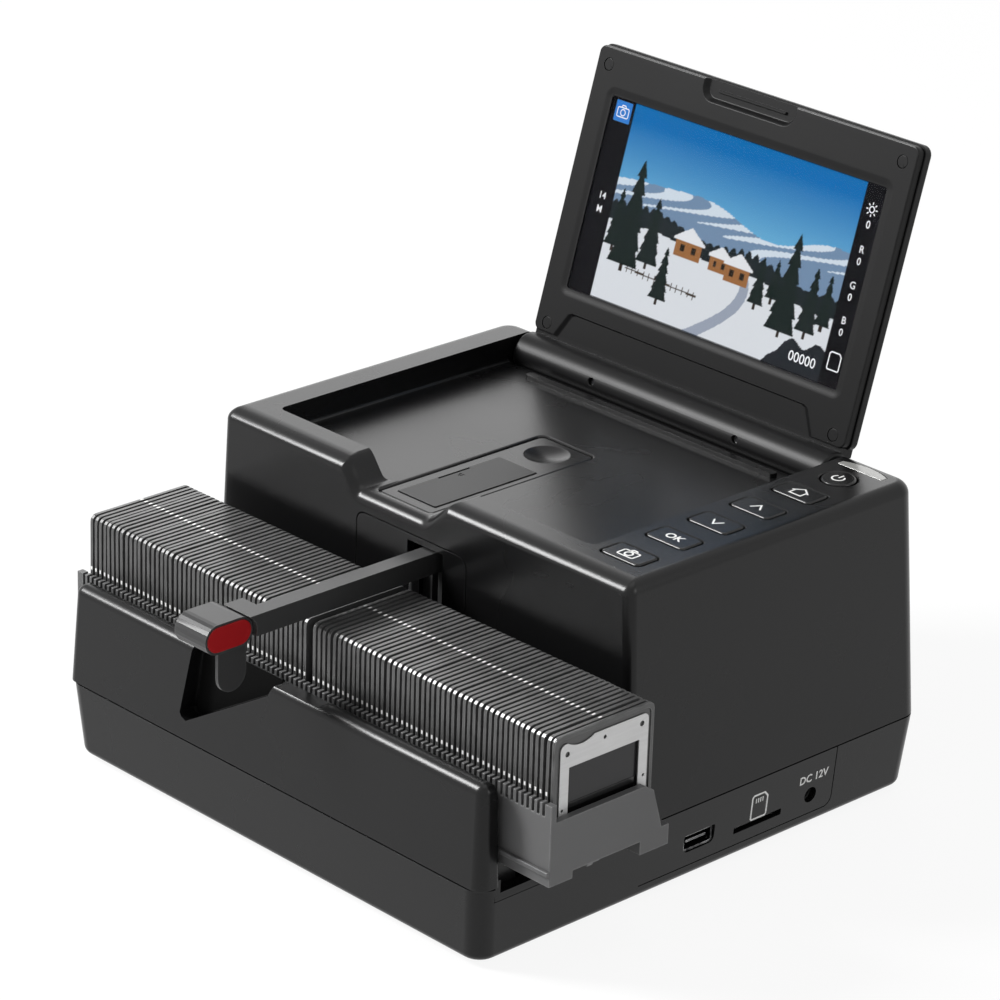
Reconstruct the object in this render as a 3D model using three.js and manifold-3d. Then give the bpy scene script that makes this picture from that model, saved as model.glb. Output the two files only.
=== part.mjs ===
// Slide scanner with a straight slide tray, a transport arm and a flip-up screen.
// Millimetres, +Z up, front towards -Y. While it is built, x is 0 at the slide plane of the gate,
// y is 0 at the casing's front and z is 0 at the seam between the base shell and the upper housing.
import * as THREE from "three";
import { mergeVertices } from "three/addons/utils/BufferGeometryUtils.js";
import Module from "manifold-3d";

const wasm = await Module();
wasm.setup();

// Clearances
const seatGap = 0.3;
const pinGap = 0.2;
const leafGap = 0.1;
const overrun = 4;

// Casing
const casingWidth = 237.6;
const casingDepth = 237;
const slidePlaneFromRight = 112;
const baseHeight = 31;
const wall = 2.5;
const upperDraftShare = 0.0545;
const baseDraftShare = 0.085;
const cornerRadius = 8;
const blockCornerRadius = 4;
const topEdgeRadius = 5;
const baseEdgeRadius = 3;
const footRadius = 7;
const footHeight = 2.4;
const footSink = 0.7;
const footInset = 24;

// Front wall and its notch
const frontWallDepth = 10.6;
const frontWallHeight = 41;
const frontWallEdgeRadius = 4;
const notchFromRight = 116;
const notchWidth = 53;
const notchHeight = 33;
const notchShares = [[0, 0.08], [0.07, 0], [0.52, 0.42], [0.94, 0.82], [1, 1]];
const notchTopLeftShare = 0.15;
const dipFromRight = 88;
const dipWidth = 30;
const dipDepth = 1.5;
const dipSlope = 6;

// Tray channel
const blockFront = 75.5;
const channelDrop = 2.5;
const channelFloorThickness = 3.1;
const railEndInset = 6;
const railSideGap = 1;

// Sunk top for the screen
const recessDepth = 10.5;
const recessFront = 91;
const deckRim = 5.5;
const recessSideGap = 0.5;
const lipLeftFromRight = 153.6;
const lipRightFromRight = 115;
const shoulderLeftRun = 10.6;
const shoulderRightRun = 14;
const lipEdgeRadius = 4.5;
const ledgeFromHinge = 17.5;
const ledgeDepth = 3.6;
const ledgeHeight = 2;
const ledgeLength = 139;

// Screen lid and its hinge
const lidWidth = 175.6;
const lidFromRight = 40.7;
const lidHeight = 122.9;
const lidTilt = 16.1;
const lidCornerRadius = 4;
const hingeFromRear = 11.5;
const hingeDrop = 7.7;
const lidFrontOffset = 0.67;
const lidBottomOffset = 9.3;
const bezelThickness = 3.3;
const coverThickness = 4.2;
const bezelInset = 0.8;
const windowFromLidLeft = 13.3;
const windowFromLidTop = 19.5;
const windowFromLidRight = 11.9;
const windowFromLidBottom = 21.7;
const glassThickness = 0.8;
const glassSink = 0.3;
const displayMargin = 3.5;
const displayThickness = 3.2;
const fingerNotchWidth = 53.6;
const fingerNotchTaper = 3.4;
const fingerNotchHeight = 7.7;
const fingerNotchDepth = 2.4;
const fingerNotchFromLidRight = 63.5;
const plugRadius = 2.6;
const plugHeight = 0.9;
const plugSideInset = 7.6;
const plugTopInset = 8;
const plugBottomInset = 5;
const barrelRadius = 8.8;
const barrelEndGap = 1.3;
const barrelNeckInset = 15;
const barrelNeckThickness = 6.6;
const barrelScrewRadius = 1.6;
const barrelScrewDepth = 4;
const barrelScrewInsetShare = 0.27;
const troughGap = 0.6;
const backWallDrop = 16;
const hingePinRadius = 2.5;
const hingePinGrip = 14;
const hingeBracketThickness = 6.4;
const hingeBracketDepth = 11.4;
const hingeBracketHeight = 12;

// Keys and light lens
const keyFromRight = 25.7;
const keyWidth = 19.5;
const keyDepth = 11.5;
const captureKeyFromFront = 95.8;
const keyNames = ["capture", "ok", "down", "up", "home"];
const keyRowShares = [0, 0.206, 0.4032, 0.6039, 0.8063];
const powerFromRear = 27.6;
const powerRadius = 6.95;
const keyRise = 0.4;
const keyFlange = 1;
const keyFlangeThickness = 1.2;
const keyStemRadius = 2;
const keyStemLength = 3;
const boardThickness = 1.6;
const keyBoardWidth = 28.4;
const keyBoardDrop = 8.4;
const keyPostRadius = 1.8;
const lensWidth = 23;
const lensDepth = 5;
const lensFromRight = 25.5;
const lensFromRear = 16;
const lensThickness = 4;

// Hatch
const hatchFromRight = 119;
const hatchWidth = 30;
const hatchFront = 82.6;
const hatchRear = 171;
const hatchThickness = 2;
const hatchSink = 0.6;
const hatchShelf = 1.6;
const hatchPinRadius = 0.7;
const hatchPinReach = 1.5;
const insertFront = 88;
const insertLength = 54;
const insertWidth = 21;
const insertThickness = 1;
const insertFromHatchRight = 3;
const dimpleFromFront = 158.7;
const dimpleRadius = 9.2;
const dimpleDepth = 1.8;
const dimpleWall = 1;

// Gate door
const doorFromRight = 91;
const doorWidth = 62;
const doorHead = 3.5;
const doorCornerRadius = 4.5;
const doorFlange = 2;
const doorFlangeThickness = 0.8;
const doorSlotLeft = 6.5;
const doorSlotRight = 8;
const doorSlotBottom = 12;
const doorSlotHead = 0.7;

// Slides and tray
const slideSize = 50;
const slideThickness = 2;
const slidePitch = 2.71;
const slotsPerSide = 48;
const slideFromFront = 16.1;
const spineHeight = 3;
const trayGap = 1.8;
const trayDepth = 60.6;
const trayLift = 13.5;
const trayFloorThickness = 2.8;
const combHeight = 29;
const combThickness = 2.7;
const combToothDepth = 5;
const combSlit = 1.4;
const endWallThickness = 2.8;
const endWallHeight = 22.1;
const endWallShares = [[0, 0], [0.95, 0], [0.855, 0.87], [0.78, 1], [0, 1]];
const frontFootWidth = 11.8;
const frontFootHeight = 3.1;
const rearFootWidth = 14.7;
const rearFootHeight = 5.5;
const rackRibFromTrayFront = 25.1;
const rackRibWidth = 3;
const filmWidth = 36;
const filmHeight = 24;
const filmThickness = 0.2;
const maskWidth = 44.1;
const maskHeight = 43;
const maskThickness = 0.4;
const maskHoleRadius = 0.8;
const mountThickness = 1.4;

// Transport arm
const armWidth = 7.2;
const armHeight = 8.7;
const armRear = 134;
const rackSideWidth = 3;
const rackSideOverlap = 0.4;
const headFront = -35.6;
const headDepth = 22.7;
const headHeight = 12;
const headLength = 17.6;
const headRightFromPlane = 1.4;
const capThickness = 1;
const capRim = 0.9;
const rootFront = -16;
const rootDepth = 9;
const rootWidth = 15.2;
const tongueThickness = 1.5;
const tongueWidth = 13.5;
const tongueLength = 29.1;
const tongueFrontInset = 6.6;
const hookDepth = 4;
const hookLength = 26.3;
const armTravel = 88;

// Gate, lamp and camera
const gateLeft = 10;
const gateRight = 6.5;
const gateRear = 165;
const gateHead = 3.7;
const deckRoom = 7.5;
const gateBottom = 8;
const gateLegDepth = 8;
const gateWindowLength = 34;
const gateWindowHeight = 23;
const slideSlotWidth = 3.2;
const lampBoxLength = 16;
const lampBoxMargin = 3;
const lampBoxWall = 2;
const diffuserThickness = 1.5;
const diffuserInset = 2;
const lensBarrelRadius = 13;
const lensBarrelLength = 41;
const lensBore = 9;
const sensorBoardSize = 34;

// Drives
const pressureAngle = 20;
const backlash = 0.4;
const trayGearTeeth = 18;
const trayGearWidth = 4;
const toothHeightShare = 0.26;
const toothRootShare = 0.31;
const armRackPitch = 4;
const armGearTeeth = 12;
const armGearFromFront = 128;
const armGearWidth = 2.2;
const shaftRadius = 1.5;
const gearboxWall = 3;
const gearboxDepth = 10;
const gearboxWidth = 20;
const gearboxHeight = 18;
const motorRadius = 8;
const motorLength = 24;

// Boards and sockets
const mainBoardFromRight = 10;
const mainBoardWidth = 88;
const mainBoardFront = 95;
const mainBoardFromRear = 16;
const mainBoardRise = 5.5;
const mainBoardPostRadius = 3;
const mainBoardPostInset = 7;
const socketSink = 0.6;
const videoFrom = 107;
const videoWidth = 16;
const videoRise = 3.5;
const videoHeight = 7;
const videoLength = 14;
const socketShell = 0.9;
const socketDepth = 9;
const socketTongueThickness = 1;
const socketMargin = 1.8;
const cardFrom = 134.6;
const cardWidth = 25.7;
const cardRise = 2.6;
const cardHeight = 2.1;
const cardShell = 1.2;
const cardLength = 28;
const inletFromFront = 176.8;
const inletRise = 5.5;
const inletBoreRadius = 3;
const inletBodyWidth = 10.4;
const inletLength = 13;
const inletPinRadius = 1;

// Counts of flats on round pieces
const roundSides = 24;
const smallSides = 12;
const cornerSteps = 5;
const edgeSteps = 4;

// Places worked out from the sizes above
const right = slidePlaneFromRight;
const left = right - casingWidth;
const baseFloor = -baseHeight + wall;
const hingeFromFront = casingDepth - hingeFromRear;
const ledgeFromFront = hingeFromFront - ledgeFromHinge;
const powerFromFront = casingDepth - powerFromRear;
const lensFromFront = casingDepth - lensFromRear;
const mainBoardTop = baseFloor + mainBoardRise;
const videoBottom = mainBoardTop + videoRise;
const cardBottom = mainBoardTop + cardRise;
const inletHeight = mainBoardTop + inletRise;
const channelFloor = -channelDrop;
const channelUnderside = channelFloor - channelFloorThickness;
const channelRear = blockFront + wall;
const channelFront = frontWallDepth - wall;
const lidRight = right - lidFromRight;
const lidLeft = lidRight - lidWidth;
const recess = [lidLeft - recessSideGap, lidRight + recessSideGap];
const trayFront = frontWallDepth + trayGap;
const trayRear = trayFront + trayDepth;
const trayUnderside = channelFloor + trayLift;
const slideBottom = trayUnderside + trayFloorThickness + seatGap;
const slideTop = slideBottom + slideSize;
const slideRear = slideFromFront + slideSize;
const armTop = slideTop + pinGap + headHeight;
const tongueBottom = armTop - tongueLength;
const hookBottom = armTop - hookLength;
const doorTop = armTop + doorHead;
const doorSlotTop = armTop + doorSlotHead;
const gateTop = armTop + gateHead;
const recessFloor = gateTop + deckRoom;
const upperHeight = recessFloor + recessDepth;
const hingeHeight = upperHeight - hingeDrop;
const backWallTop = upperHeight - backWallDrop;
const trayHalfLength = slotsPerSide * slidePitch + slideThickness / 2 + seatGap + endWallThickness;
const armBottom = armTop - armHeight;
const opticsHeight = slideBottom + slideSize / 2;
const tongueRear = headFront + tongueFrontInset + tongueWidth;
const opticsFromFront = tongueRear + armTravel + slideSize / 2;
const rootLeft = armWidth / 2 - rootWidth;
const rootRearAtEnd = rootFront + rootDepth + armTravel;
const doorRear = blockFront + wall + seatGap + doorFlangeThickness;
const gateFront = doorRear + seatGap;
const trayRackPitch = slidePitch + slidePitch;
const hatchTop = recessFloor - hatchSink;
const hatchBottom = hatchTop - hatchThickness;
const hatchRight = right - hatchFromRight;
const hatchLeft = hatchRight - hatchWidth;
const keyRow = powerFromFront - captureKeyFromFront;
const keyPlaces = Object.fromEntries(
  keyNames.map((name, i) => [name, captureKeyFromFront + keyRowShares[i] * keyRow]),
);

// Materials
const finish = (color, roughness, metalness = 0) =>
  new THREE.MeshStandardMaterial({ color, roughness, metalness });
const casingPlastic = finish(0x1b1b1c, 0.42);
const lidPlastic = finish(0x29292a, 0.5);
const keyPlastic = finish(0x232324, 0.38);
const trayPlastic = finish(0x6c6c6c, 0.55);
const slidePlastic = finish(0x2c2c2c, 0.5);
const redPlastic = finish(0x8a1518, 0.4);
const lensPlastic = finish(0xb4b4b0, 0.3);
const maskSteel = finish(0xd2d2d2, 0.35, 0.6);
const filmSheet = finish(0x141416, 0.2);
const darkGlass = finish(0x0a0a0b, 0.08);
const steel = finish(0xa7a9ac, 0.35, 1);
const gearPlastic = finish(0xe6e2d6, 0.5);
const boardLaminate = finish(0x1f5a36, 0.6);
const whitePlastic = finish(0xf0f0ec, 0.6);
const rubber = finish(0x151515, 0.85);
const innerPlastic = finish(0x303032, 0.6);

// A geometry as a solid that can be joined and cut
function solidOf(geometry) {
  geometry.deleteAttribute("normal");
  geometry.deleteAttribute("uv");
  const merged = mergeVertices(geometry);
  const vertProperties = merged.attributes.position.array;
  const triVerts = new Uint32Array(merged.index.array);
  return new wasm.Manifold(new wasm.Mesh({ numProp: 3, vertProperties, triVerts }));
}

// A solid back as a geometry
function geometryOf(solid) {
  const { numProp, numVert, vertProperties, triVerts } = solid.getMesh();
  const position = new Float32Array(numVert * 3);
  for (let i = 0; i < numVert; i += 1) {
    position.set(vertProperties.subarray(i * numProp, i * numProp + 3), i * 3);
  }
  const geometry = new THREE.BufferGeometry();
  geometry.setAttribute("position", new THREE.BufferAttribute(position, 3));
  geometry.setIndex(new THREE.BufferAttribute(new Uint32Array(triVerts), 1));
  geometry.computeVertexNormals();
  return geometry;
}

function piece(name, solid, material) {
  const mesh = new THREE.Mesh(geometryOf(solid), material);
  mesh.name = name;
  return mesh;
}

const join = (...solids) => solids.reduce((whole, next) => whole.add(next));
const cut = (solid, ...cutters) => cutters.reduce((whole, next) => whole.subtract(next), solid);

function block([x0, x1], [y0, y1], [z0, z1]) {
  const geometry = new THREE.BoxGeometry(x1 - x0, y1 - y0, z1 - z0);
  geometry.translate((x0 + x1) / 2, (y0 + y1) / 2, (z0 + z1) / 2);
  return solidOf(geometry);
}

// A round bar along one axis, through a point given by the two other coordinates
function rod(axis, radius, [from, to], [a, b], sides = roundSides) {
  const geometry = new THREE.CylinderGeometry(radius, radius, to - from, sides);
  const middle = (from + to) / 2;
  if (axis === "x") geometry.rotateZ(-Math.PI / 2).translate(middle, a, b);
  if (axis === "y") geometry.translate(a, middle, b);
  if (axis === "z") geometry.rotateX(Math.PI / 2).translate(a, b, middle);
  return solidOf(geometry);
}

// An outline drawn across one axis and carried along it: (y, z), (x, z) or (x, y)
function prism(axis, points, [from, to]) {
  const shape = new THREE.Shape(points.map(([a, b]) => new THREE.Vector2(a, b)));
  const geometry = new THREE.ExtrudeGeometry(shape, { depth: to - from, bevelEnabled: false });
  const [X, Y, Z] = [[1, 0, 0], [0, 1, 0], [0, 0, 1]].map((v) => new THREE.Vector3(...v));
  const turn = new THREE.Matrix4();
  if (axis === "x") turn.makeBasis(Y, Z, X).setPosition(from, 0, 0);
  if (axis === "y") turn.makeBasis(X, Z, Y.negate()).setPosition(0, to, 0);
  if (axis === "z") turn.setPosition(0, 0, from);
  return solidOf(geometry.applyMatrix4(turn));
}

function arc([a, b], radius, fromDegrees, toDegrees, steps = cornerSteps) {
  return Array.from({ length: steps + 1 }, (_, i) => {
    const angle = THREE.MathUtils.degToRad(fromDegrees + ((toDegrees - fromDegrees) * i) / steps);
    return [a + radius * Math.cos(angle), b + radius * Math.sin(angle)];
  });
}

// A rounded rectangle, counter-clockwise, with its own radius on the low-b and the high-b corners
function roundedOutline([a0, a1], [b0, b1], lowRadius, highRadius = lowRadius) {
  return [
    ...arc([a0 + lowRadius, b0 + lowRadius], lowRadius, 180, 270),
    ...arc([a1 - lowRadius, b0 + lowRadius], lowRadius, 270, 360),
    ...arc([a1 - highRadius, b1 - highRadius], highRadius, 0, 90),
    ...arc([a0 + highRadius, b1 - highRadius], highRadius, 90, 180),
  ];
}

// A closed solid through level outlines that all have the same number of points
function loft(levels) {
  const count = levels[0].outline.length;
  const position = levels.flatMap(({ outline, z }) => outline.flatMap(([x, y]) => [x, y, z]));
  const top = (levels.length - 1) * count;
  const index = [];
  for (let i = 1; i + 1 < count; i += 1) {
    index.push(0, i + 1, i, top, top + i, top + i + 1);
  }
  for (let low = 0; low < top; low += count) {
    for (let i = 0; i < count; i += 1) {
      const next = (i + 1) % count;
      index.push(low + i, low + next, low + count + next);
      index.push(low + i, low + count + next, low + count + i);
    }
  }
  const geometry = new THREE.BufferGeometry();
  geometry.setAttribute("position", new THREE.Float32BufferAttribute(position, 3));
  geometry.setIndex(index);
  return solidOf(geometry);
}

// The outline of a drafted shell at height z, drawn in by an inset on every side
function shellLevel(z, inset, { front, rear, draft, frontRadius, rearRadius }) {
  const lean = Math.abs(z) * draft + inset;
  const keep = (radius) => Math.max(radius - inset, pinGap);
  const depths = [front(z) + inset, rear(z) - inset];
  const outline = roundedOutline([left + lean, right - lean], depths, keep(frontRadius), keep(rearRadius));
  return { outline, z };
}

// Levels that close a shell with a rounded edge; side is 1 for an edge on top, -1 below
function roundedEdge(end, radius, side, inset, shape) {
  return Array.from({ length: edgeSteps + 1 }, (_, i) => {
    const angle = (Math.PI / 2) * (i / edgeSteps);
    const z = end - side * radius * (1 - Math.sin(angle));
    return shellLevel(z, inset + radius * (1 - Math.cos(angle)), shape);
  });
}

const blockShape = {
  front: () => blockFront,
  rear: (z) => casingDepth - z * upperDraftShare,
  draft: upperDraftShare,
  frontRadius: blockCornerRadius,
  rearRadius: cornerRadius,
};
const frontWallShape = {
  front: (z) => z * upperDraftShare,
  rear: () => frontWallDepth,
  draft: upperDraftShare,
  frontRadius: frontWallDepth / 2,
  rearRadius: wall,
};
const baseShape = {
  front: (z) => -z * baseDraftShare,
  rear: (z) => casingDepth + z * baseDraftShare,
  draft: baseDraftShare,
  frontRadius: cornerRadius,
  rearRadius: cornerRadius,
};

// A drafted block with a rounded top edge, or its hollow when the inset is the wall
function drafted(low, high, radius, inset, shape) {
  return loft([shellLevel(low, inset, shape), ...roundedEdge(high, radius, 1, inset, shape)]);
}

// The outline that cuts the sunk top, grown by the wall for the hollow under it
function recessCutter(grow) {
  const across = [recess[0] - grow, recess[1] + grow];
  const floor = block(across, [recessFront - grow, hingeFromFront], [recessFloor - grow, upperHeight + overrun]);
  const troughRadius = barrelRadius + troughGap + grow;
  const trough = rod("x", troughRadius, across, [hingeFromFront, hingeHeight]);
  const backDepth = [hingeFromFront, casingDepth + overrun];
  const back = block(across, backDepth, [backWallTop - grow, upperHeight + overrun]);
  return join(floor, trough, back, lipCutter(grow));
}

// The lowered lip between the two shoulders
function lipCutter(grow) {
  const [low, high] = [recessFloor - grow, upperHeight + overrun];
  const rise = (upperHeight + overrun - recessFloor) / (upperHeight - recessFloor);
  const lipLeft = right - lipLeftFromRight - grow;
  const lipRight = right - lipRightFromRight + grow;
  const outline = [
    [lipLeft, low],
    [lipRight, low],
    [lipRight + shoulderRightRun * rise, high],
    [lipLeft - shoulderLeftRun * rise, high],
  ];
  return prism("y", outline, [blockFront - overrun, recessFront + overrun]);
}

// Takes the sharp front edge off the lip
function lipEdgeCutter() {
  const centre = [blockFront + lipEdgeRadius, recessFloor - lipEdgeRadius];
  const outline = [
    [blockFront - overrun, centre[1]],
    ...arc(centre, lipEdgeRadius, 180, 90),
    [centre[0], recessFloor + overrun],
    [blockFront - overrun, recessFloor + overrun],
  ];
  return prism("x", outline, [right - lipLeftFromRight, right - lipRightFromRight]);
}

// The notch in the front wall's face, grown by the wall for the hollow round it
function notchCutter(grow) {
  const low = frontWallHeight - notchHeight;
  const notchLeft = right - notchFromRight - notchWidth;
  const high = frontWallHeight + overrun;
  const place = ([across, up]) => [notchLeft + across * notchWidth, low + up * notchHeight - grow];
  const outline = notchShares.map(place);
  outline.push([right - notchFromRight + grow, high]);
  outline.push([notchLeft + notchTopLeftShare * notchWidth - grow, high]);
  outline[0] = [notchLeft - grow, outline[0][1]];
  return prism("y", outline, [-overrun, channelFront + grow]);
}

// The shallow dip in the front wall's top, right of the notch
function dipCutter(grow) {
  const low = frontWallHeight - dipDepth - grow;
  const high = frontWallHeight + overrun;
  const dipRight = right - dipFromRight;
  const steep = (dipSlope * (high - low)) / dipDepth;
  const outline = [
    [dipRight - dipWidth, low],
    [dipRight - dipSlope, low],
    [dipRight - dipSlope + steep, high],
    [dipRight - dipWidth, high],
  ];
  return prism("y", outline, [-overrun, frontWallDepth + overrun]);
}

// Floor of the tray channel with the two rails that carry the tray
function channelDeck() {
  const ends = [left + -channelUnderside * baseDraftShare, right + channelUnderside * baseDraftShare];
  const deck = block(ends, [channelFront, channelRear], [channelUnderside, channelFloor]);
  const webTop = seatGap + channelDrop;
  const frontWeb = block(ends, [channelFront, frontWallDepth], [channelUnderside, webTop]);
  const rearWeb = block(ends, [blockFront, channelRear], [channelUnderside, webTop]);
  const along = [left + railEndInset, right - railEndInset];
  const frontRail = block(
    along,
    [trayFront + railSideGap, trayFront + frontFootWidth - railSideGap],
    [channelFloor - channelDrop / 2, trayUnderside - frontFootHeight - seatGap],
  );
  const rearRail = block(
    along,
    [trayRear - rearFootWidth + railSideGap, trayRear - railSideGap],
    [channelFloor - channelDrop / 2, trayUnderside - rearFootHeight - seatGap],
  );
  const gearReach = trayGear.tipRadius + seatGap + seatGap;
  const gearSlot = block(
    [-gearReach, gearReach],
    [trayGearPlace.from - seatGap, trayGearPlace.to + seatGap],
    [channelUnderside - overrun, channelFloor + overrun],
  );
  return cut(join(deck, frontWeb, rearWeb, frontRail, rearRail), gearSlot);
}

// Gear sizes from a rack's tooth pitch
function gearSizes(teeth, pitch) {
  const pitchRadius = (teeth * pitch) / (2 * Math.PI);
  const addendum = pitch * toothHeightShare;
  const dedendum = pitch * toothRootShare;
  const tipRadius = pitchRadius + addendum;
  return { teeth, pitch, pitchRadius, addendum, dedendum, tipRadius, rootRadius: pitchRadius - dedendum };
}

const trayGear = gearSizes(trayGearTeeth, trayRackPitch);
const armGear = gearSizes(armGearTeeth, armRackPitch);
const rackTip = trayUnderside - rearFootHeight;
const rackMiddle = trayFront + rackRibFromTrayFront + rackRibWidth / 2;
const trayGearPlace = {
  z: rackTip + trayGear.addendum - trayGear.pitchRadius,
  from: rackMiddle - trayGearWidth / 2,
  to: rackMiddle + trayGearWidth / 2,
};
const armGearPlace = {
  z: armBottom + armGear.addendum - armGear.pitchRadius,
  from: -armWidth / 2 + leafGap,
  to: -armWidth / 2 + leafGap + armGearWidth,
};

// Half the angle of an involute tooth at a radius
function toothHalfAngle({ teeth, pitchRadius }, radius) {
  const pressure = THREE.MathUtils.degToRad(pressureAngle);
  const baseRadius = pitchRadius * Math.cos(pressure);
  const involute = (angle) => Math.tan(angle) - angle;
  const here = Math.acos(Math.min(1, baseRadius / radius));
  const atPitch = Math.PI / (2 * teeth) - backlash / (2 * pitchRadius);
  return atPitch + involute(pressure) - involute(here);
}

// A gear's outline round a centre, with one tooth pointing straight up
function gearOutline(gear, [a, b]) {
  const radii = [gear.rootRadius, gear.pitchRadius, gear.tipRadius];
  const points = [];
  for (let tooth = 0; tooth < gear.teeth; tooth += 1) {
    const middle = Math.PI / 2 + (tooth * 2 * Math.PI) / gear.teeth;
    const flank = radii.map((radius) => [radius, toothHalfAngle(gear, radius)]);
    const rising = flank.map(([radius, half]) => [radius, middle - half]);
    const falling = [...flank].reverse().map(([radius, half]) => [radius, middle + half]);
    points.push(...rising, ...falling);
  }
  return points.map(([radius, angle]) => [a + radius * Math.cos(angle), b + radius * Math.sin(angle)]);
}

// The toothed lower edge of a rack between two ends, with a tooth space centred on one place
function rackEdge({ pitch, addendum, dedendum }, [from, to], tip, spaceAt) {
  const root = tip + addendum + dedendum;
  const slope = Math.tan(THREE.MathUtils.degToRad(pressureAngle));
  const halfTip = pitch / 4 - addendum * slope - backlash / 2;
  const halfRoot = pitch / 4 + dedendum * slope - backlash / 2;
  const first = Math.ceil((from + halfRoot - spaceAt) / pitch - 1 / 2);
  const last = Math.floor((to - halfRoot - spaceAt) / pitch - 1 / 2);
  const points = [[from, root]];
  for (let tooth = first; tooth <= last; tooth += 1) {
    const middle = spaceAt + (tooth + 1 / 2) * pitch;
    points.push([middle - halfRoot, root], [middle - halfTip, tip]);
    points.push([middle + halfTip, tip], [middle + halfRoot, root]);
  }
  points.push([to, root]);
  return points;
}

const sideDepth = (z) => right - z * upperDraftShare;

// Posts under the top plate that hold the key board
function keyPosts() {
  const across = sideDepth(upperHeight) - wall - topEdgeRadius;
  const under = [upperHeight - keyBoardDrop + seatGap, upperHeight - wall / 2];
  const places = [(keyPlaces.capture + keyPlaces.ok) / 2, (keyPlaces.up + keyPlaces.home) / 2];
  return places.map((depth) => rod("z", keyPostRadius, under, [across, depth], smallSides));
}

const keyCentre = right - keyFromRight;

function keyOpenings() {
  const through = [upperHeight - wall - overrun, upperHeight + overrun];
  const half = [keyWidth / 2 + seatGap, keyDepth / 2 + seatGap];
  const openings = Object.values(keyPlaces).map((depth) =>
    block([keyCentre - half[0], keyCentre + half[0]], [depth - half[1], depth + half[1]], through),
  );
  openings.push(rod("z", powerRadius + seatGap, through, [keyCentre, powerFromFront]));
  openings.push(prism("z", lensOutline(seatGap), through));
  return openings;
}

// The light lens: a straight front edge and a bowed rear edge
function lensOutline(grow) {
  const middle = right - lensFromRight;
  const half = lensWidth / 2 + grow;
  const front = lensFromFront - grow;
  const rear = lensFromFront + lensDepth + grow;
  const bow = lensDepth / 3;
  const curve = new THREE.QuadraticBezierCurve(
    new THREE.Vector2(middle + half, rear - bow),
    new THREE.Vector2(middle, rear + bow),
    new THREE.Vector2(middle - half, rear - bow),
  );
  const rearEdge = curve.getPoints(smallSides).map(({ x, y }) => [x, y]);
  return [[middle - half, front], [middle + half, front], ...rearEdge];
}

// Thick rim round the hatch, its seat, its hole and the holes of its hinge pins
function hatchRim() {
  const across = [hatchLeft - wall, hatchRight + wall];
  return block(across, [hatchFront - wall, hatchRear + wall], [recessFloor - deckRim, recessFloor - hatchSink]);
}

function hatchSeat() {
  const across = [hatchLeft, hatchRight];
  const seat = block(across, [hatchFront, hatchRear], [hatchBottom - seatGap, recessFloor + overrun]);
  const hole = block(
    [hatchLeft + hatchShelf, hatchRight - hatchShelf],
    [hatchFront + hatchThickness + hatchShelf, hatchRear - hatchShelf],
    [recessFloor - deckRim - overrun, recessFloor],
  );
  const reach = hatchPinReach + seatGap;
  const pins = [hatchLeft - reach, hatchRight + reach];
  const pinHole = rod("x", hatchPinRadius + seatGap, pins, hatchAxis, smallSides);
  return join(seat, hole, pinHole);
}

const hatchAxis = [hatchFront + seatGap + hatchThickness / 2, hatchTop - hatchThickness / 2];

// The opening that the gate door fills
function doorOpening() {
  const across = [right - doorFromRight - doorWidth, right - doorFromRight];
  const outline = roundedOutline(across, [channelFloor, doorTop], pinGap, doorCornerRadius);
  return prism("y", outline, [blockFront - overrun, channelRear + overrun]);
}

function upperHousing() {
  const low = seatGap / 2;
  const outer = join(
    drafted(low, upperHeight, topEdgeRadius, 0, blockShape),
    drafted(low, frontWallHeight, frontWallEdgeRadius, 0, frontWallShape),
  );
  const blockHollow = cut(
    drafted(-overrun, upperHeight - wall, topEdgeRadius - wall, wall, blockShape),
    recessCutter(wall),
  );
  const wallHollow = cut(
    drafted(-overrun, frontWallHeight - wall, frontWallEdgeRadius - wall, wall, frontWallShape),
    notchCutter(wall),
    dipCutter(wall),
  );
  const carved = cut(outer, blockHollow, wallHollow, recessCutter(0), notchCutter(0), dipCutter(0));
  const ledgeMiddle = (recess[0] + recess[1]) / 2;
  const ledge = block(
    [ledgeMiddle - ledgeLength / 2, ledgeMiddle + ledgeLength / 2],
    [ledgeFromFront, ledgeFromFront + ledgeDepth],
    [recessFloor - wall / 2, recessFloor + ledgeHeight],
  );
  const bored = hingeSides().map(({ inner, outward }) => hingeBore(inner, outward));
  const whole = join(carved, channelDeck(), ledge, hatchRim(), ...keyPosts());
  const cutters = [lipEdgeCutter(), doorOpening(), hatchSeat(), ...keyOpenings(), ...bored];
  return piece("upper_housing", cut(whole, ...cutters), casingPlastic);
}

// The two ends of the hinge: the recess side and the way out of it
function hingeSides() {
  return [
    { side: "left", inner: recess[0], outward: -1 },
    { side: "right", inner: recess[1], outward: 1 },
  ];
}

// A span that starts at one place and runs outward
function span(start, outward, length) {
  return [start, start + outward * length].sort((a, b) => a - b);
}

function hingeBore(inner, outward) {
  const across = span(inner - outward * overrun, outward, overrun + wall + overrun);
  return rod("x", hingePinRadius + seatGap, across, [hingeFromFront, hingeHeight], roundSides);
}

function hingeBracket({ side, inner, outward }) {
  const start = inner + outward * (wall + seatGap);
  const across = span(start, outward, hingeBracketThickness);
  const rear = hingeFromFront + hingePinRadius + seatGap + pinGap;
  const depth = [rear - hingeBracketDepth, rear];
  const height = [hingeHeight - hingeBracketHeight, hingeHeight + hingePinRadius + seatGap + pinGap];
  const plate = block(across, depth, height);
  const boreAcross = span(start - outward * overrun, outward, overrun + casingWidth / 2);
  const bore = rod("x", hingePinRadius + pinGap, boreAcross, [hingeFromFront, hingeHeight]);
  return piece(`hinge_bracket_${side}`, cut(plate, bore), steel);
}

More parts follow.
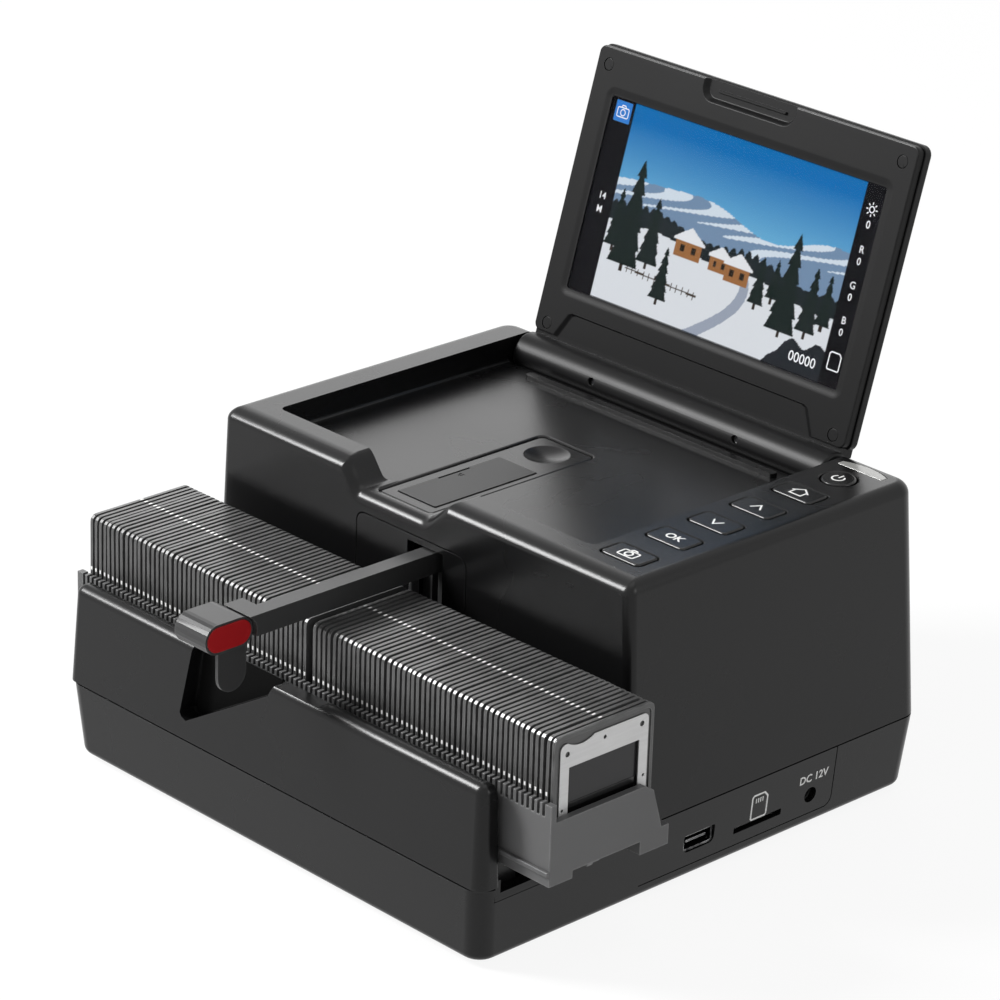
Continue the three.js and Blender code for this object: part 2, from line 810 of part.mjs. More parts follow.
function baseShell() {
  const outer = loft([
    ...roundedEdge(-baseHeight, baseEdgeRadius, -1, 0, baseShape).reverse(),
    shellLevel(-seatGap / 2, 0, baseShape),
  ]);
  const hollow = loft([shellLevel(baseFloor, wall, baseShape), shellLevel(0, wall, baseShape)]);
  const lipDepth = [channelFront - seatGap, channelRear + seatGap];
  const lipHeight = [channelUnderside - seatGap, overrun];
  const lipWays = [
    block([left - overrun, left + wall + overrun], lipDepth, lipHeight),
    block([right - wall - overrun, right + overrun], lipDepth, lipHeight),
  ];
  const footHoles = feetPlaces().map(({ place }) =>
    rod("z", footRadius + seatGap, [-baseHeight - overrun, -baseHeight + footSink], place),
  );
  const shell = cut(outer, hollow, ...lipWays, ...footHoles, ...portHoles());
  return piece("base_shell", join(shell, ...boardPosts()), casingPlastic);
}

function feetPlaces() {
  const [x0, x1, y0, y1] = [left + footInset, right - footInset, footInset, casingDepth - footInset];
  return [
    { name: "foot_front_left", place: [x0, y0] },
    { name: "foot_front_right", place: [x1, y0] },
    { name: "foot_rear_left", place: [x0, y1] },
    { name: "foot_rear_right", place: [x1, y1] },
  ];
}

function feet() {
  const top = -baseHeight + footSink - seatGap;
  return feetPlaces().map(({ name, place }) =>
    piece(name, rod("z", footRadius, [top - footHeight, top], place), rubber),
  );
}

const mainBoardX = [right - mainBoardFromRight - mainBoardWidth, right - mainBoardFromRight];
const mainBoardY = [mainBoardFront, casingDepth - mainBoardFromRear];

function boardPosts() {
  const top = mainBoardTop - boardThickness - seatGap;
  const corners = mainBoardX.flatMap((x, i) =>
    mainBoardY.map((y, j) => [x + (i ? -mainBoardPostInset : mainBoardPostInset),
      y + (j ? -mainBoardPostInset : mainBoardPostInset)]),
  );
  return corners.map((place) =>
    rod("z", mainBoardPostRadius, [baseFloor - wall / 2, top], place, smallSides),
  );
}

// The face of the right base wall at a height below the seam
const portFace = (z) => right + z * baseDraftShare;

function portHoles() {
  const across = [right - wall - overrun, right + overrun];
  const video = block(across, [videoFrom - seatGap, videoFrom + videoWidth + seatGap],
    [videoBottom - seatGap, videoBottom + videoHeight + seatGap]);
  const card = block(across, [cardFrom - seatGap, cardFrom + cardWidth + seatGap],
    [cardBottom - seatGap, cardBottom + cardHeight + seatGap]);
  const inlet = rod("x", inletBoreRadius + seatGap, across, [inletFromFront, inletHeight]);
  return [video, card, inlet];
}

function videoSocket() {
  const face = portFace(videoBottom) - socketSink;
  const depth = [videoFrom, videoFrom + videoWidth];
  const body = block([face - videoLength, face], depth, [videoBottom, videoBottom + videoHeight]);
  const inner = [depth[0] + socketShell, depth[1] - socketShell];
  const legs = block([face - videoLength, portFace(mainBoardTop) - wall - seatGap], inner,
    [mainBoardTop + seatGap, videoBottom + socketShell]);
  const mouth = block([face - socketDepth, face + overrun], inner,
    [videoBottom + socketShell, videoBottom + videoHeight - socketShell]);
  const middle = videoBottom + videoHeight / 2;
  const tongue = block([face - socketDepth - socketShell, face - socketShell],
    [inner[0] + socketMargin, inner[1] - socketMargin],
    [middle - socketTongueThickness / 2, middle + socketTongueThickness / 2]);
  return piece("video_socket", join(cut(join(body, legs), mouth), tongue), steel);
}

function cardSocket() {
  const face = portFace(mainBoardTop) - wall - seatGap;
  const depth = [cardFrom - cardShell, cardFrom + cardWidth + cardShell];
  const body = block([face - cardLength, face], depth, [mainBoardTop + seatGap, cardBottom + cardHeight + cardShell]);
  const slot = block([face - cardLength + cardShell, face + overrun], [cardFrom, cardFrom + cardWidth],
    [cardBottom, cardBottom + cardHeight]);
  return piece("card_socket", cut(body, slot), steel);
}

function powerInlet() {
  const face = portFace(mainBoardTop) - wall - seatGap;
  const half = inletBodyWidth / 2;
  const body = block([face - inletLength, face], [inletFromFront - half, inletFromFront + half],
    [mainBoardTop + seatGap, inletHeight + half]);
  const bore = rod("x", inletBoreRadius, [face - inletLength + socketShell, face + overrun],
    [inletFromFront, inletHeight], smallSides);
  const pin = rod("x", inletPinRadius, [face - inletLength + socketShell / 2, face - socketShell],
    [inletFromFront, inletHeight], smallSides);
  return piece("power_inlet", join(cut(body, bore), pin), innerPlastic);
}

function mainBoard() {
  const board = block(mainBoardX, mainBoardY, [mainBoardTop - boardThickness, mainBoardTop]);
  return piece("main_board", board, boardLaminate);
}

// Front door of the gate, with its slot and the flange that holds it behind the block's wall
function doorPanel() {
  const across = [right - doorFromRight - doorWidth + seatGap, right - doorFromRight - seatGap];
  const height = [channelFloor + seatGap, doorTop - seatGap];
  const outline = roundedOutline(across, height, doorFlangeThickness, doorCornerRadius - seatGap);
  const plate = prism("y", outline, [blockFront, doorRear - doorFlangeThickness / 2]);
  const flangeX = [across[0] - doorFlange, across[1] + doorFlange];
  const flangeDepth = [doorRear - doorFlangeThickness, doorRear];
  const flange = block(flangeX, flangeDepth, [height[0] + doorFlange, height[1] + doorFlange]);
  const through = [blockFront - overrun, doorRear + overrun];
  const slot = block([-doorSlotLeft, doorSlotRight], through, [doorSlotBottom, doorSlotTop]);
  const rootWay = block([rootLeft - seatGap, 0], through, [armBottom - seatGap, doorSlotTop]);
  return piece("gate_door", cut(join(plate, flange), slot, rootWay), casingPlastic);
}

const windowDepth = [opticsFromFront - gateWindowLength / 2, opticsFromFront + gateWindowLength / 2];
const windowLevels = [opticsHeight - gateWindowHeight / 2, opticsHeight + gateWindowHeight / 2];

// The gate guides the arm along its top and the slide below it, past the lamp's window
function gateFrame() {
  const across = [-gateLeft, gateRight];
  const through = [gateFront - overrun, gateRear + overrun];
  const body = block(across, [gateFront, gateRear], [gateBottom, gateTop]);
  const legHeight = [baseFloor + seatGap, gateBottom + wall];
  const frontLeg = block(across, [gateFront + overrun, gateFront + overrun + gateLegDepth], legHeight);
  const rearLeg = block(across, [gateRear - overrun - gateLegDepth, gateRear - overrun], legHeight);
  const armHalf = armWidth / 2 + seatGap;
  const armWay = block([-armHalf, armHalf], through, [armBottom - seatGap, armTop + seatGap]);
  const slideHalf = slideSlotWidth / 2;
  const slideWay = block([-slideHalf, slideHalf], through, [slideBottom - seatGap, armBottom]);
  const window = block([-gateLeft - overrun, gateRight + overrun], windowDepth, windowLevels);
  const gearReach = armGear.tipRadius + seatGap;
  const gearPocket = block(
    [armGearPlace.from - seatGap, armGearPlace.to + seatGap],
    [armGearFromFront - gearReach, armGearFromFront + gearReach],
    [armGearPlace.z - gearReach, armBottom],
  );
  const shaftPlace = [armGearFromFront, armGearPlace.z];
  const shaftHole = rod("x", shaftRadius + pinGap, [-gateLeft - overrun, 0], shaftPlace, smallSides);
  const rootDepths = [gateFront - overrun, rootRearAtEnd + seatGap];
  const rootWay = block([-gateLeft - overrun, 0], rootDepths, [armBottom - seatGap, armTop + seatGap]);
  const cutters = [armWay, slideWay, window, gearPocket, shaftHole, rootWay];
  return piece("gate_frame", cut(join(body, frontLeg, rearLeg), ...cutters), innerPlastic);
}

const lampRight = -gateLeft - seatGap;
const lampDepth = [gateFront, windowDepth[1] + lampBoxMargin];
const lampLevels = [windowLevels[0] - lampBoxMargin, windowLevels[1] + lampBoxMargin];
const grown = ([low, high], by) => [low - by, high + by];

function lampBox() {
  const across = [lampRight - lampBoxLength, lampRight];
  const body = block(across, lampDepth, lampLevels);
  const inside = block(grown(across, overrun), grown(lampDepth, -lampBoxWall), grown(lampLevels, -lampBoxWall));
  return piece("lamp_box", cut(body, inside), whitePlastic);
}

function diffuser() {
  const face = lampRight - diffuserInset;
  const depth = grown(lampDepth, -lampBoxWall - seatGap);
  const sheet = block([face - diffuserThickness, face], depth, grown(lampLevels, -lampBoxWall - seatGap));
  return piece("diffuser", sheet, whitePlastic);
}

function lampBoard() {
  const face = lampRight - lampBoxLength - seatGap;
  return piece("lamp_board", block([face - boardThickness, face], lampDepth, lampLevels), boardLaminate);
}

function lensBarrel() {
  const across = [gateRight + seatGap, gateRight + seatGap + lensBarrelLength];
  const place = [opticsFromFront, opticsHeight];
  const bore = rod("x", lensBore, grown(across, overrun), place);
  return piece("lens_barrel", cut(rod("x", lensBarrelRadius, across, place), bore), innerPlastic);
}

// A lens, thick in the middle, in the barrel's bore
function lensGlass() {
  const radius = lensBore - seatGap;
  const rim = socketShell;
  const profile = [
    new THREE.Vector2(0, -rim - rim),
    new THREE.Vector2(radius / 2, -rim - rim / 2),
    new THREE.Vector2(radius, -rim),
    new THREE.Vector2(radius, rim),
    new THREE.Vector2(radius / 2, rim + rim / 2),
    new THREE.Vector2(0, rim + rim),
  ];
  const geometry = new THREE.LatheGeometry(profile, roundSides);
  geometry.rotateZ(-Math.PI / 2);
  geometry.translate(gateRight + lensBarrelLength / 2, opticsFromFront, opticsHeight);
  return piece("lens_glass", solidOf(geometry), darkGlass);
}

function sensorBoard() {
  const start = gateRight + seatGap + lensBarrelLength + seatGap;
  const half = sensorBoardSize / 2;
  const depth = [opticsFromFront - half, opticsFromFront + half];
  const board = block([start, start + boardThickness], depth, [opticsHeight - half, opticsHeight + half]);
  return piece("sensor_board", board, boardLaminate);
}

// Motor with its gearbox on the gate's left, and the gear that its shaft carries
function armMotor() {
  const across = [lampRight - gearboxDepth, lampRight];
  const { z } = armGearPlace;
  const depth = grown([armGearFromFront, armGearFromFront], gearboxWidth / 2);
  const box = block(across, depth, grown([z, z], gearboxHeight / 2));
  const can = rod("x", motorRadius, [across[0] - motorLength, across[0] + wall], [armGearFromFront, z]);
  const bore = rod("x", shaftRadius + pinGap, [across[0] + gearboxWall, 0], [armGearFromFront, z], smallSides);
  return piece("arm_motor", cut(join(box, can), bore), steel);
}

function armGearPiece() {
  const { z, from, to } = armGearPlace;
  const disc = prism("x", gearOutline(armGear, [armGearFromFront, z]), [from, to]);
  const shaftFrom = lampRight - gearboxDepth + gearboxWall + seatGap;
  const shaft = rod("x", shaftRadius, [shaftFrom, (from + to) / 2], [armGearFromFront, z], smallSides);
  return piece("arm_gear", join(disc, shaft), gearPlastic);
}

// Motor with its gearbox under the tray channel, and the gear that reaches up to the tray's rack
function trayMotor() {
  const top = channelUnderside - seatGap;
  const depth = [trayGearPlace.to + seatGap, trayGearPlace.to + seatGap + gearboxDepth];
  const box = block([-gearboxWidth / 2, gearboxWidth / 2], depth, [top - gearboxHeight, top]);
  const canPlace = [0, top - gearboxHeight / 2];
  const can = rod("y", motorRadius, [depth[1] - wall, depth[1] + motorLength], canPlace);
  const boreDepth = [depth[0] - overrun, depth[1] - gearboxWall];
  const bore = rod("y", shaftRadius + pinGap, boreDepth, [0, trayGearPlace.z], smallSides);
  return piece("tray_motor", cut(join(box, can), bore), steel);
}

function trayGearPiece() {
  const { z, from, to } = trayGearPlace;
  const disc = prism("y", gearOutline(trayGear, [0, z]), [from, to]);
  const shaftTo = to + seatGap + gearboxDepth - gearboxWall - seatGap;
  const shaft = rod("y", shaftRadius, [(from + to) / 2, shaftTo], [0, z], smallSides);
  return piece("tray_gear", join(disc, shaft), gearPlastic);
}

// The arm's bar, its rack under the left side, the root block and the hook that pulls a slide back
function armBar() {
  const leftSide = -armWidth / 2;
  const height = [armBottom, armTop];
  const bar = block([leftSide + rackSideWidth - rackSideOverlap, armWidth / 2], [rootFront, armRear], height);
  const toothed = [armGearFromFront - armTravel - armGear.tipRadius, armGearFromFront + armGear.pitch];
  const outline = [
    [rootFront, armBottom],
    [toothed[0], armBottom],
    ...rackEdge(armGear, toothed, armBottom, armGearFromFront),
    [armRear, armBottom + armGear.addendum + armGear.dedendum],
    [armRear, armTop],
    [rootFront, armTop],
  ];
  const rack = prism("x", outline, [leftSide, leftSide + rackSideWidth]);
  const root = block([rootLeft, armWidth / 2], [rootFront, rootFront + rootDepth], height);
  const hookX = [-tongueThickness / 2, tongueThickness / 2];
  const hookY = [slideRear + seatGap, slideRear + seatGap + hookDepth];
  const hook = block(hookX, hookY, [hookBottom, armTop - armHeight / 2]);
  const seat = prism("x", headOutline(seatGap), grown([rootLeft, armWidth / 2], overrun));
  return piece("arm_bar", cut(join(bar, rack, root, hook), seat), innerPlastic);
}

// The grip head's section: two half rounds joined by flats
function headOutline(grow) {
  const radius = headHeight / 2 + grow;
  const middle = armTop - headHeight / 2;
  const front = [headFront + headHeight / 2, middle];
  const rear = [headFront + headDepth - headHeight / 2, middle];
  return [...arc(rear, radius, -90, 90, smallSides), ...arc(front, radius, 90, 270, smallSides)];
}

// Grip head with the tongue that hangs below it and pushes a slide
function gripHead() {
  const headRight = headRightFromPlane;
  const body = prism("x", headOutline(0), [headRight - headLength, headRight]);
  const pocket = prism("x", headOutline(-capRim), [headRight - capThickness, headRight + overrun]);
  const front = headFront + tongueFrontInset;
  const radius = tongueWidth / 2;
  const top = armTop - headHeight / 2;
  const outline = [
    ...arc([front + radius, tongueBottom + radius], radius, 180, 360, smallSides),
    [front + tongueWidth, top],
    [front, top],
  ];
  const tongue = prism("x", outline, [-tongueThickness / 2, tongueThickness / 2]);
  return piece("grip_head", join(cut(body, pocket), cut(tongue, pocket)), innerPlastic);
}

function gripCap() {
  const across = [headRightFromPlane - capThickness + leafGap, headRightFromPlane + seatGap];
  return piece("grip_cap", prism("x", headOutline(-capRim - leafGap), across), redPlastic);
}

// The tray's front wall in the (x, z) plane, with one slit for each slide
function combOutline() {
  const top = trayUnderside + combHeight;
  const points = [[-trayHalfLength, trayUnderside], [trayHalfLength, trayUnderside], [trayHalfLength, top]];
  for (let slot = slotsPerSide; slot >= -slotsPerSide; slot -= 1) {
    const [high, low] = [slot * slidePitch + combSlit / 2, slot * slidePitch - combSlit / 2];
    points.push([high, top], [high, top - combToothDepth], [low, top - combToothDepth], [low, top]);
  }
  points.push([-trayHalfLength, top]);
  return points;
}

function trayBody() {
  const floorTop = trayUnderside + trayFloorThickness;
  const half = trayHalfLength;
  const into = trayUnderside + trayFloorThickness / 2;
  const floor = block([-half, half], [trayFront, trayRear], [trayUnderside, floorTop]);
  const comb = prism("y", combOutline(), [trayFront, trayFront + combThickness]);
  const endOutline = endWallShares.map(([deep, up]) =>
    [trayFront + deep * trayDepth, trayUnderside + up * endWallHeight]);
  const walls = [
    prism("x", endOutline, [-half, -half + endWallThickness]),
    prism("x", endOutline, [half - endWallThickness, half]),
  ];
  const frontFoot = block([-half, half], [trayFront, trayFront + frontFootWidth],
    [trayUnderside - frontFootHeight, into]);
  const rearFoot = block([-half, half], [trayRear - rearFootWidth, trayRear],
    [trayUnderside - rearFootHeight, into]);
  const along = [-half + endWallThickness, half - endWallThickness];
  const edge = rackEdge(trayGear, along, rackTip, 0);
  const rack = prism("y", [...edge, [along[1], into], [along[0], into]],
    [rackMiddle - rackRibWidth / 2, rackMiddle + rackRibWidth / 2]);
  return piece("tray_body", join(floor, comb, ...walls, frontFoot, rearFoot, rack), trayPlastic);
}

// Slides from one slot to another, joined by a low strip out of sight in the tray
function slideStack(name, first, last) {
  const spineTop = slideBottom + spineHeight;
  const half = slideThickness / 2;
  const points = [[first * slidePitch - half, slideBottom], [last * slidePitch + half, slideBottom]];
  for (let slot = last; slot >= first; slot -= 1) {
    const place = slot * slidePitch;
    if (slot < last) points.push([place + half, spineTop]);
    points.push([place + half, slideTop], [place - half, slideTop]);
    if (slot > first) points.push([place - half, spineTop]);
  }
  return piece(name, prism("y", points, [slideFromFront, slideRear]), slidePlastic);
}

const endSlideLeft = slotsPerSide * slidePitch - slideThickness / 2;
const slideMiddle = slideFromFront + slideSize / 2;
const filmDepth = grown([slideMiddle, slideMiddle], filmWidth / 2);
const filmLevels = grown([opticsHeight, opticsHeight], filmHeight / 2);

function endSlideMount() {
  const across = [endSlideLeft, endSlideLeft + mountThickness];
  const plate = block(across, [slideFromFront, slideRear], [slideBottom, slideTop]);
  return piece("end_slide_mount", cut(plate, block(grown(across, overrun), filmDepth, filmLevels)), slidePlastic);
}

function endSlideMask() {
  const start = endSlideLeft + mountThickness + leafGap;
  const across = [start, start + maskThickness];
  const depth = grown([slideMiddle, slideMiddle], maskWidth / 2);
  const levels = grown([opticsHeight, opticsHeight], maskHeight / 2);
  const plate = block(across, depth, levels);
  const holes = depth.flatMap((y, i) => levels.map((z, j) => {
    const inset = maskHoleRadius + maskHoleRadius;
    const place = [y + (i ? -inset : inset), z + (j ? -inset : inset)];
    return rod("x", maskHoleRadius, grown(across, overrun), place, smallSides);
  }));
  const opening = block(grown(across, overrun), grown(filmDepth, -maskThickness), grown(filmLevels, -maskThickness));
  return piece("end_slide_mask", cut(plate, opening, ...holes), maskSteel);
}

function endSlideFilm() {
  const middle = endSlideLeft + mountThickness / 2;
  const across = grown([middle, middle], filmThickness / 2);
  const sheet = block(across, grown(filmDepth, -seatGap), grown(filmLevels, -seatGap));
  return piece("end_slide_film", sheet, filmSheet);
}

// A shallow dish that cuts the thumb dimple
function dish(radius, depth, [x, y, z]) {
  const steps = cornerSteps;
  const profile = Array.from({ length: steps + 1 }, (_, i) => {
    const out = (radius * i) / steps;
    return new THREE.Vector2(out, -depth * (1 - (out / radius) ** 2));
  });
  profile.push(new THREE.Vector2(radius, overrun), new THREE.Vector2(0, overrun));
  const geometry = new THREE.LatheGeometry(profile, roundSides);
  return solidOf(geometry.rotateX(Math.PI / 2).translate(x, y, z));
}

const insertX = [hatchRight - insertFromHatchRight - insertWidth, hatchRight - insertFromHatchRight];
const insertY = [insertFront, insertFront + insertLength];

function hatch() {
  const across = grown([hatchLeft, hatchRight], -seatGap);
  const middle = (hatchLeft + hatchRight) / 2;
  const plate = block(across, [hatchAxis[0], hatchRear - seatGap], [hatchBottom, hatchTop]);
  const edge = rod("x", hatchThickness / 2, across, hatchAxis);
  const pins = rod("x", hatchPinRadius, grown([hatchLeft, hatchRight], hatchPinReach), hatchAxis, smallSides);
  const bossLevels = [hatchTop - dimpleDepth - dimpleWall, hatchTop - hatchThickness / 2];
  const boss = rod("z", dimpleRadius + dimpleWall, bossLevels, [middle, dimpleFromFront]);
  const pocket = block(insertX, insertY, [hatchTop - insertThickness, hatchTop + overrun]);
  const dimple = dish(dimpleRadius, dimpleDepth, [middle, dimpleFromFront, hatchTop]);
  return piece("hatch", cut(join(plate, edge, pins, boss), pocket, dimple), casingPlastic);
}

function hatchInsert() {
  const levels = [hatchTop - insertThickness + leafGap, hatchTop + leafGap];
  return piece("hatch_insert", block(grown(insertX, -seatGap), grown(insertY, -seatGap), levels), lidPlastic);
}

// A key: its cap stands in the top plate, its flange stays under it and its stem meets the board
function key(name, depth, capAt) {
  const flangeTop = upperHeight - wall - seatGap;
  const flangeLevels = [flangeTop - keyFlangeThickness, flangeTop];
  const cap = capAt(0, [flangeTop - keyFlangeThickness / 2, upperHeight + keyRise]);
  const stemLevels = [flangeLevels[0] - keyStemLength, flangeTop - keyFlangeThickness / 2];
  const stem = rod("z", keyStemRadius, stemLevels, [keyCentre, depth], smallSides);
  return piece(name, join(cap, capAt(keyFlange, flangeLevels), stem), keyPlastic);
}

function keys() {
  const made = Object.entries(keyPlaces).map(([name, depth]) => {
    const capAt = (grow, levels) =>
      block(grown([keyCentre, keyCentre], keyWidth / 2 + grow), grown([depth, depth], keyDepth / 2 + grow), levels);
    return key(`key_${name}`, depth, capAt);
  });
  const roundCap = (grow, levels) => rod("z", powerRadius + grow, levels, [keyCentre, powerFromFront]);
  return [...made, key("key_power", powerFromFront, roundCap)];
}

function keyBoard() {
  const start = recess[1] + wall + seatGap;
  const top = upperHeight - keyBoardDrop;
  const front = keyPlaces.capture - keyDepth;
  const rear = powerFromFront + powerRadius;
  return piece("key_board", block([start, start + keyBoardWidth], [front, rear],
    [top - boardThickness, top]), boardLaminate);
}

function lightLens() {
  const levels = [upperHeight - lensThickness, upperHeight + leafGap];
  return piece("light_lens", prism("z", lensOutline(0), levels), lensPlastic);
}

// Places on the lid, in the lid's own frame: x across, z up the lid, its front towards -y
const lidBottom = lidBottomOffset;
const lidTop = lidBottom + lidHeight;
const bezelRear = lidFrontOffset + bezelThickness;
const lidRear = bezelRear + seatGap + coverThickness;
const windowX = [lidLeft + windowFromLidLeft, lidRight - windowFromLidRight];
const windowZ = [lidBottom + windowFromLidBottom, lidTop - windowFromLidTop];
const displayFront = lidFrontOffset + glassSink + glassThickness + seatGap;
const displayX = grown(windowX, displayMargin);
const displayZ = grown(windowZ, displayMargin);

function plugPlaces() {
  return [
    { name: "screw_plug_top_left", place: [lidLeft + plugSideInset, lidTop - plugTopInset] },
    { name: "screw_plug_top_right", place: [lidRight - plugSideInset, lidTop - plugTopInset] },
    { name: "screw_plug_bottom_left", place: [lidLeft + plugSideInset, lidBottom + plugBottomInset] },
    { name: "screw_plug_bottom_right", place: [lidRight - plugSideInset, lidBottom + plugBottomInset] },
  ];
}

function lidBezel() {
  const across = grown([lidLeft, lidRight], -bezelInset);
  const outline = roundedOutline(across, grown([lidBottom, lidTop], -bezelInset), lidCornerRadius);
  const frame = prism("y", outline, [lidFrontOffset, bezelRear]);
  const window = block(windowX, [-overrun, bezelRear + overrun], windowZ);
  const pocket = block(grown(displayX, seatGap), [displayFront - seatGap, bezelRear + overrun],
    grown(displayZ, seatGap));
  const notchRight = lidRight - fingerNotchFromLidRight;
  const notch = prism("y", [
    [notchRight - fingerNotchWidth + fingerNotchTaper, lidTop - fingerNotchHeight],
    [notchRight - fingerNotchTaper, lidTop - fingerNotchHeight],
    [notchRight, lidTop + overrun],
    [notchRight - fingerNotchWidth, lidTop + overrun],
  ], [-overrun, lidFrontOffset + fingerNotchDepth]);
  const plugHoles = plugPlaces().map(({ place }) =>
    rod("y", plugRadius + leafGap, [-overrun, lidFrontOffset + plugHeight + leafGap], place));
  return piece("lid_bezel", cut(frame, window, pocket, notch, ...plugHoles), lidPlastic);
}

function lidCover() {
  const outline = roundedOutline([lidLeft, lidRight], [lidBottom, lidTop], lidCornerRadius);
  const plate = prism("y", outline, [bezelRear + seatGap, lidRear]);
  const pocketDepth = [bezelRear - overrun, displayFront + displayThickness + seatGap];
  const pocket = block(grown(displayX, seatGap), pocketDepth, grown(displayZ, seatGap));
  return piece("lid_cover", cut(plate, pocket), lidPlastic);
}

function display() {
  const depth = [displayFront, displayFront + displayThickness];
  return piece("display_panel", block(displayX, depth, displayZ), darkGlass);
}

function screenGlass() {
  const front = lidFrontOffset + glassSink;
  const sheet = block(grown(windowX, -seatGap), [front, front + glassThickness], grown(windowZ, -seatGap));
  return piece("screen_glass", sheet, darkGlass);
}

function screwPlugs() {
  const depth = [lidFrontOffset + leafGap, lidFrontOffset + plugHeight];
  return plugPlaces().map(({ name, place }) => piece(name, rod("y", plugRadius, depth, place), lidPlastic));
}

const barrelX = grown([lidLeft, lidRight], -barrelEndGap);
const barrelScrewPlaces = [
  { name: "barrel_screw_left", x: lidLeft + lidWidth * barrelScrewInsetShare },
  { name: "barrel_screw_right", x: lidRight - lidWidth * barrelScrewInsetShare },
];

function hingeBarrel() {
  const round = rod("x", barrelRadius, barrelX, [0, 0]);
  const neckDepth = [lidRear - seatGap - barrelNeckThickness, lidRear - seatGap];
  const neck = block(grown([lidLeft, lidRight], -barrelNeckInset), neckDepth, [0, lidBottom - seatGap]);
  const bores = barrelX.map((end, i) => {
    const outward = i ? 1 : -1;
    const across = span(end - outward * hingePinGrip, outward, hingePinGrip + overrun);
    return rod("x", hingePinRadius + pinGap, across, [0, 0]);
  });
  const holes = barrelScrewPlaces.map(({ x }) =>
    rod("y", barrelScrewRadius + pinGap, [-barrelRadius - overrun, -barrelRadius + barrelScrewDepth], [x, 0],
      smallSides));
  return piece("hinge_barrel", cut(join(round, neck), ...bores, ...holes), lidPlastic);
}

function barrelScrews() {
  const depth = [-barrelRadius + barrelScrewRadius, -barrelRadius + barrelScrewDepth - pinGap];
  return barrelScrewPlaces.map(({ name, x }) =>
    piece(name, rod("y", barrelScrewRadius, depth, [x, 0], smallSides), steel));
}

function hingePins() {
  const length = hingePinGrip + barrelEndGap + recessSideGap + wall + hingeBracketThickness;
  return hingeSides().map(({ side, outward }, i) => {
    const start = barrelX[i] - outward * (hingePinGrip - seatGap);
    return piece(`hinge_pin_${side}`, rod("x", hingePinRadius, span(start, outward, length), [0, 0]), steel);
  });
}

// The lid stands open on its hinge, tilted back from upright
function lid() {
  const group = new THREE.Group();
  group.position.set(0, hingeFromFront, hingeHeight);
  group.rotation.x = -THREE.MathUtils.degToRad(lidTilt);
  group.add(lidBezel(), lidCover(), display(), screenGlass(), ...screwPlugs());
  group.add(hingeBarrel(), ...barrelScrews(), ...hingePins());
  return group;
}

function tray() {
  const group = new THREE.Group();
  group.add(trayBody());
  group.add(slideStack("slides_left", -slotsPerSide, -1), slideStack("slides_right", 1, slotsPerSide - 1));
  group.add(endSlideMount(), endSlideMask(), endSlideFilm());
  return group;
}

function casing() {
  const group = new THREE.Group();
  group.add(baseShell(), upperHousing(), doorPanel(), ...feet(), ...hingeSides().map(hingeBracket));
  group.add(mainBoard(), videoSocket(), cardSocket(), powerInlet(), keyBoard(), lightLens());
  group.add(gateFrame(), lampBox(), diffuser(), lampBoard(), lensBarrel(), lensGlass(), sensorBoard());
  group.add(armMotor(), trayMotor());
  return group;
}

const scanner = new THREE.Group();
scanner.add(casing(), lid(), tray(), armBar(), gripHead(), gripCap(), armGearPiece(), trayGearPiece());
scanner.add(hatch(), hatchInsert(), ...keys());

// The part's origin is the middle of its box, on the surface that the feet stand on
const box = new THREE.Box3().setFromObject(scanner, true);
const middle = box.getCenter(new THREE.Vector3());
scanner.position.set(-middle.x, -middle.y, -box.min.z);

export default scanner;
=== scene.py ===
"""Looks of the slide scanner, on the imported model's frame. Metres, +Z up, front towards -Y."""
import math
import bmesh
import bpy
import numpy as np
from mathutils import Matrix, Vector


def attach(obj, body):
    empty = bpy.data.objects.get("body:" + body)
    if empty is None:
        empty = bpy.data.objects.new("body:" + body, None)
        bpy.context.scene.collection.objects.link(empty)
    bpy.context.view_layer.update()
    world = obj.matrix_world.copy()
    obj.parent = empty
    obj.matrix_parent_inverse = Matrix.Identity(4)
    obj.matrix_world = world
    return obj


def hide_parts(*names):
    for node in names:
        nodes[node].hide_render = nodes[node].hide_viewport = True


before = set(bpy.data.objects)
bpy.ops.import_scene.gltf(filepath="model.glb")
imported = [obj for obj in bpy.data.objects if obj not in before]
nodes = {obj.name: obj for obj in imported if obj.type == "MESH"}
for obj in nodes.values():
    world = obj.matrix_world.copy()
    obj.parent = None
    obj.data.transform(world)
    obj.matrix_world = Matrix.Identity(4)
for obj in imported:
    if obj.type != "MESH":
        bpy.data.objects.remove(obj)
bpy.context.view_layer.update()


# Camera
# The photograph's own view: a long lens from the right front and a little above, turned by a small roll.
def new_object(name, data):
    """An object for its data, put in the scene."""
    made = bpy.data.objects.new(name, data)
    bpy.context.scene.collection.objects.link(made)
    return made


camera_axes = Matrix(((0.687411, -0.300582, 0.661148), (0.725671, 0.247357, -0.642041), (0.029446, 0.921122, 0.388159)))
camera_data = bpy.data.cameras.new("camera")
camera_data.sensor_width, camera_data.lens = 36, 155.93
camera_data.clip_start, camera_data.clip_end = 0.05, 20
camera = new_object("camera", camera_data)
camera.matrix_world = Matrix.Translation((1.09846, -1.071622, 0.764975)) @ camera_axes.to_4x4()
bpy.context.scene.camera = camera
bpy.context.scene.view_settings.view_transform = "Standard"

# Floor, backdrop and lamps
# A pale studio floor that fades into a white surround, one soft box at the left front for the bright edges, a wide
# one behind on the left that the flat tops mirror, and two weak wide lamps that keep the sides open.
floor_half, white = 6.0, (1, 1, 1, 1)
floor_corners = [(x * floor_half, y * floor_half, 0) for x, y in ((-1, -1), (1, -1), (1, 1), (-1, 1))]
floor_mesh = bpy.data.meshes.new("floor")
floor_mesh.from_pydata(floor_corners, [], [(0, 1, 2, 3)])
floor = new_object("floor", floor_mesh)


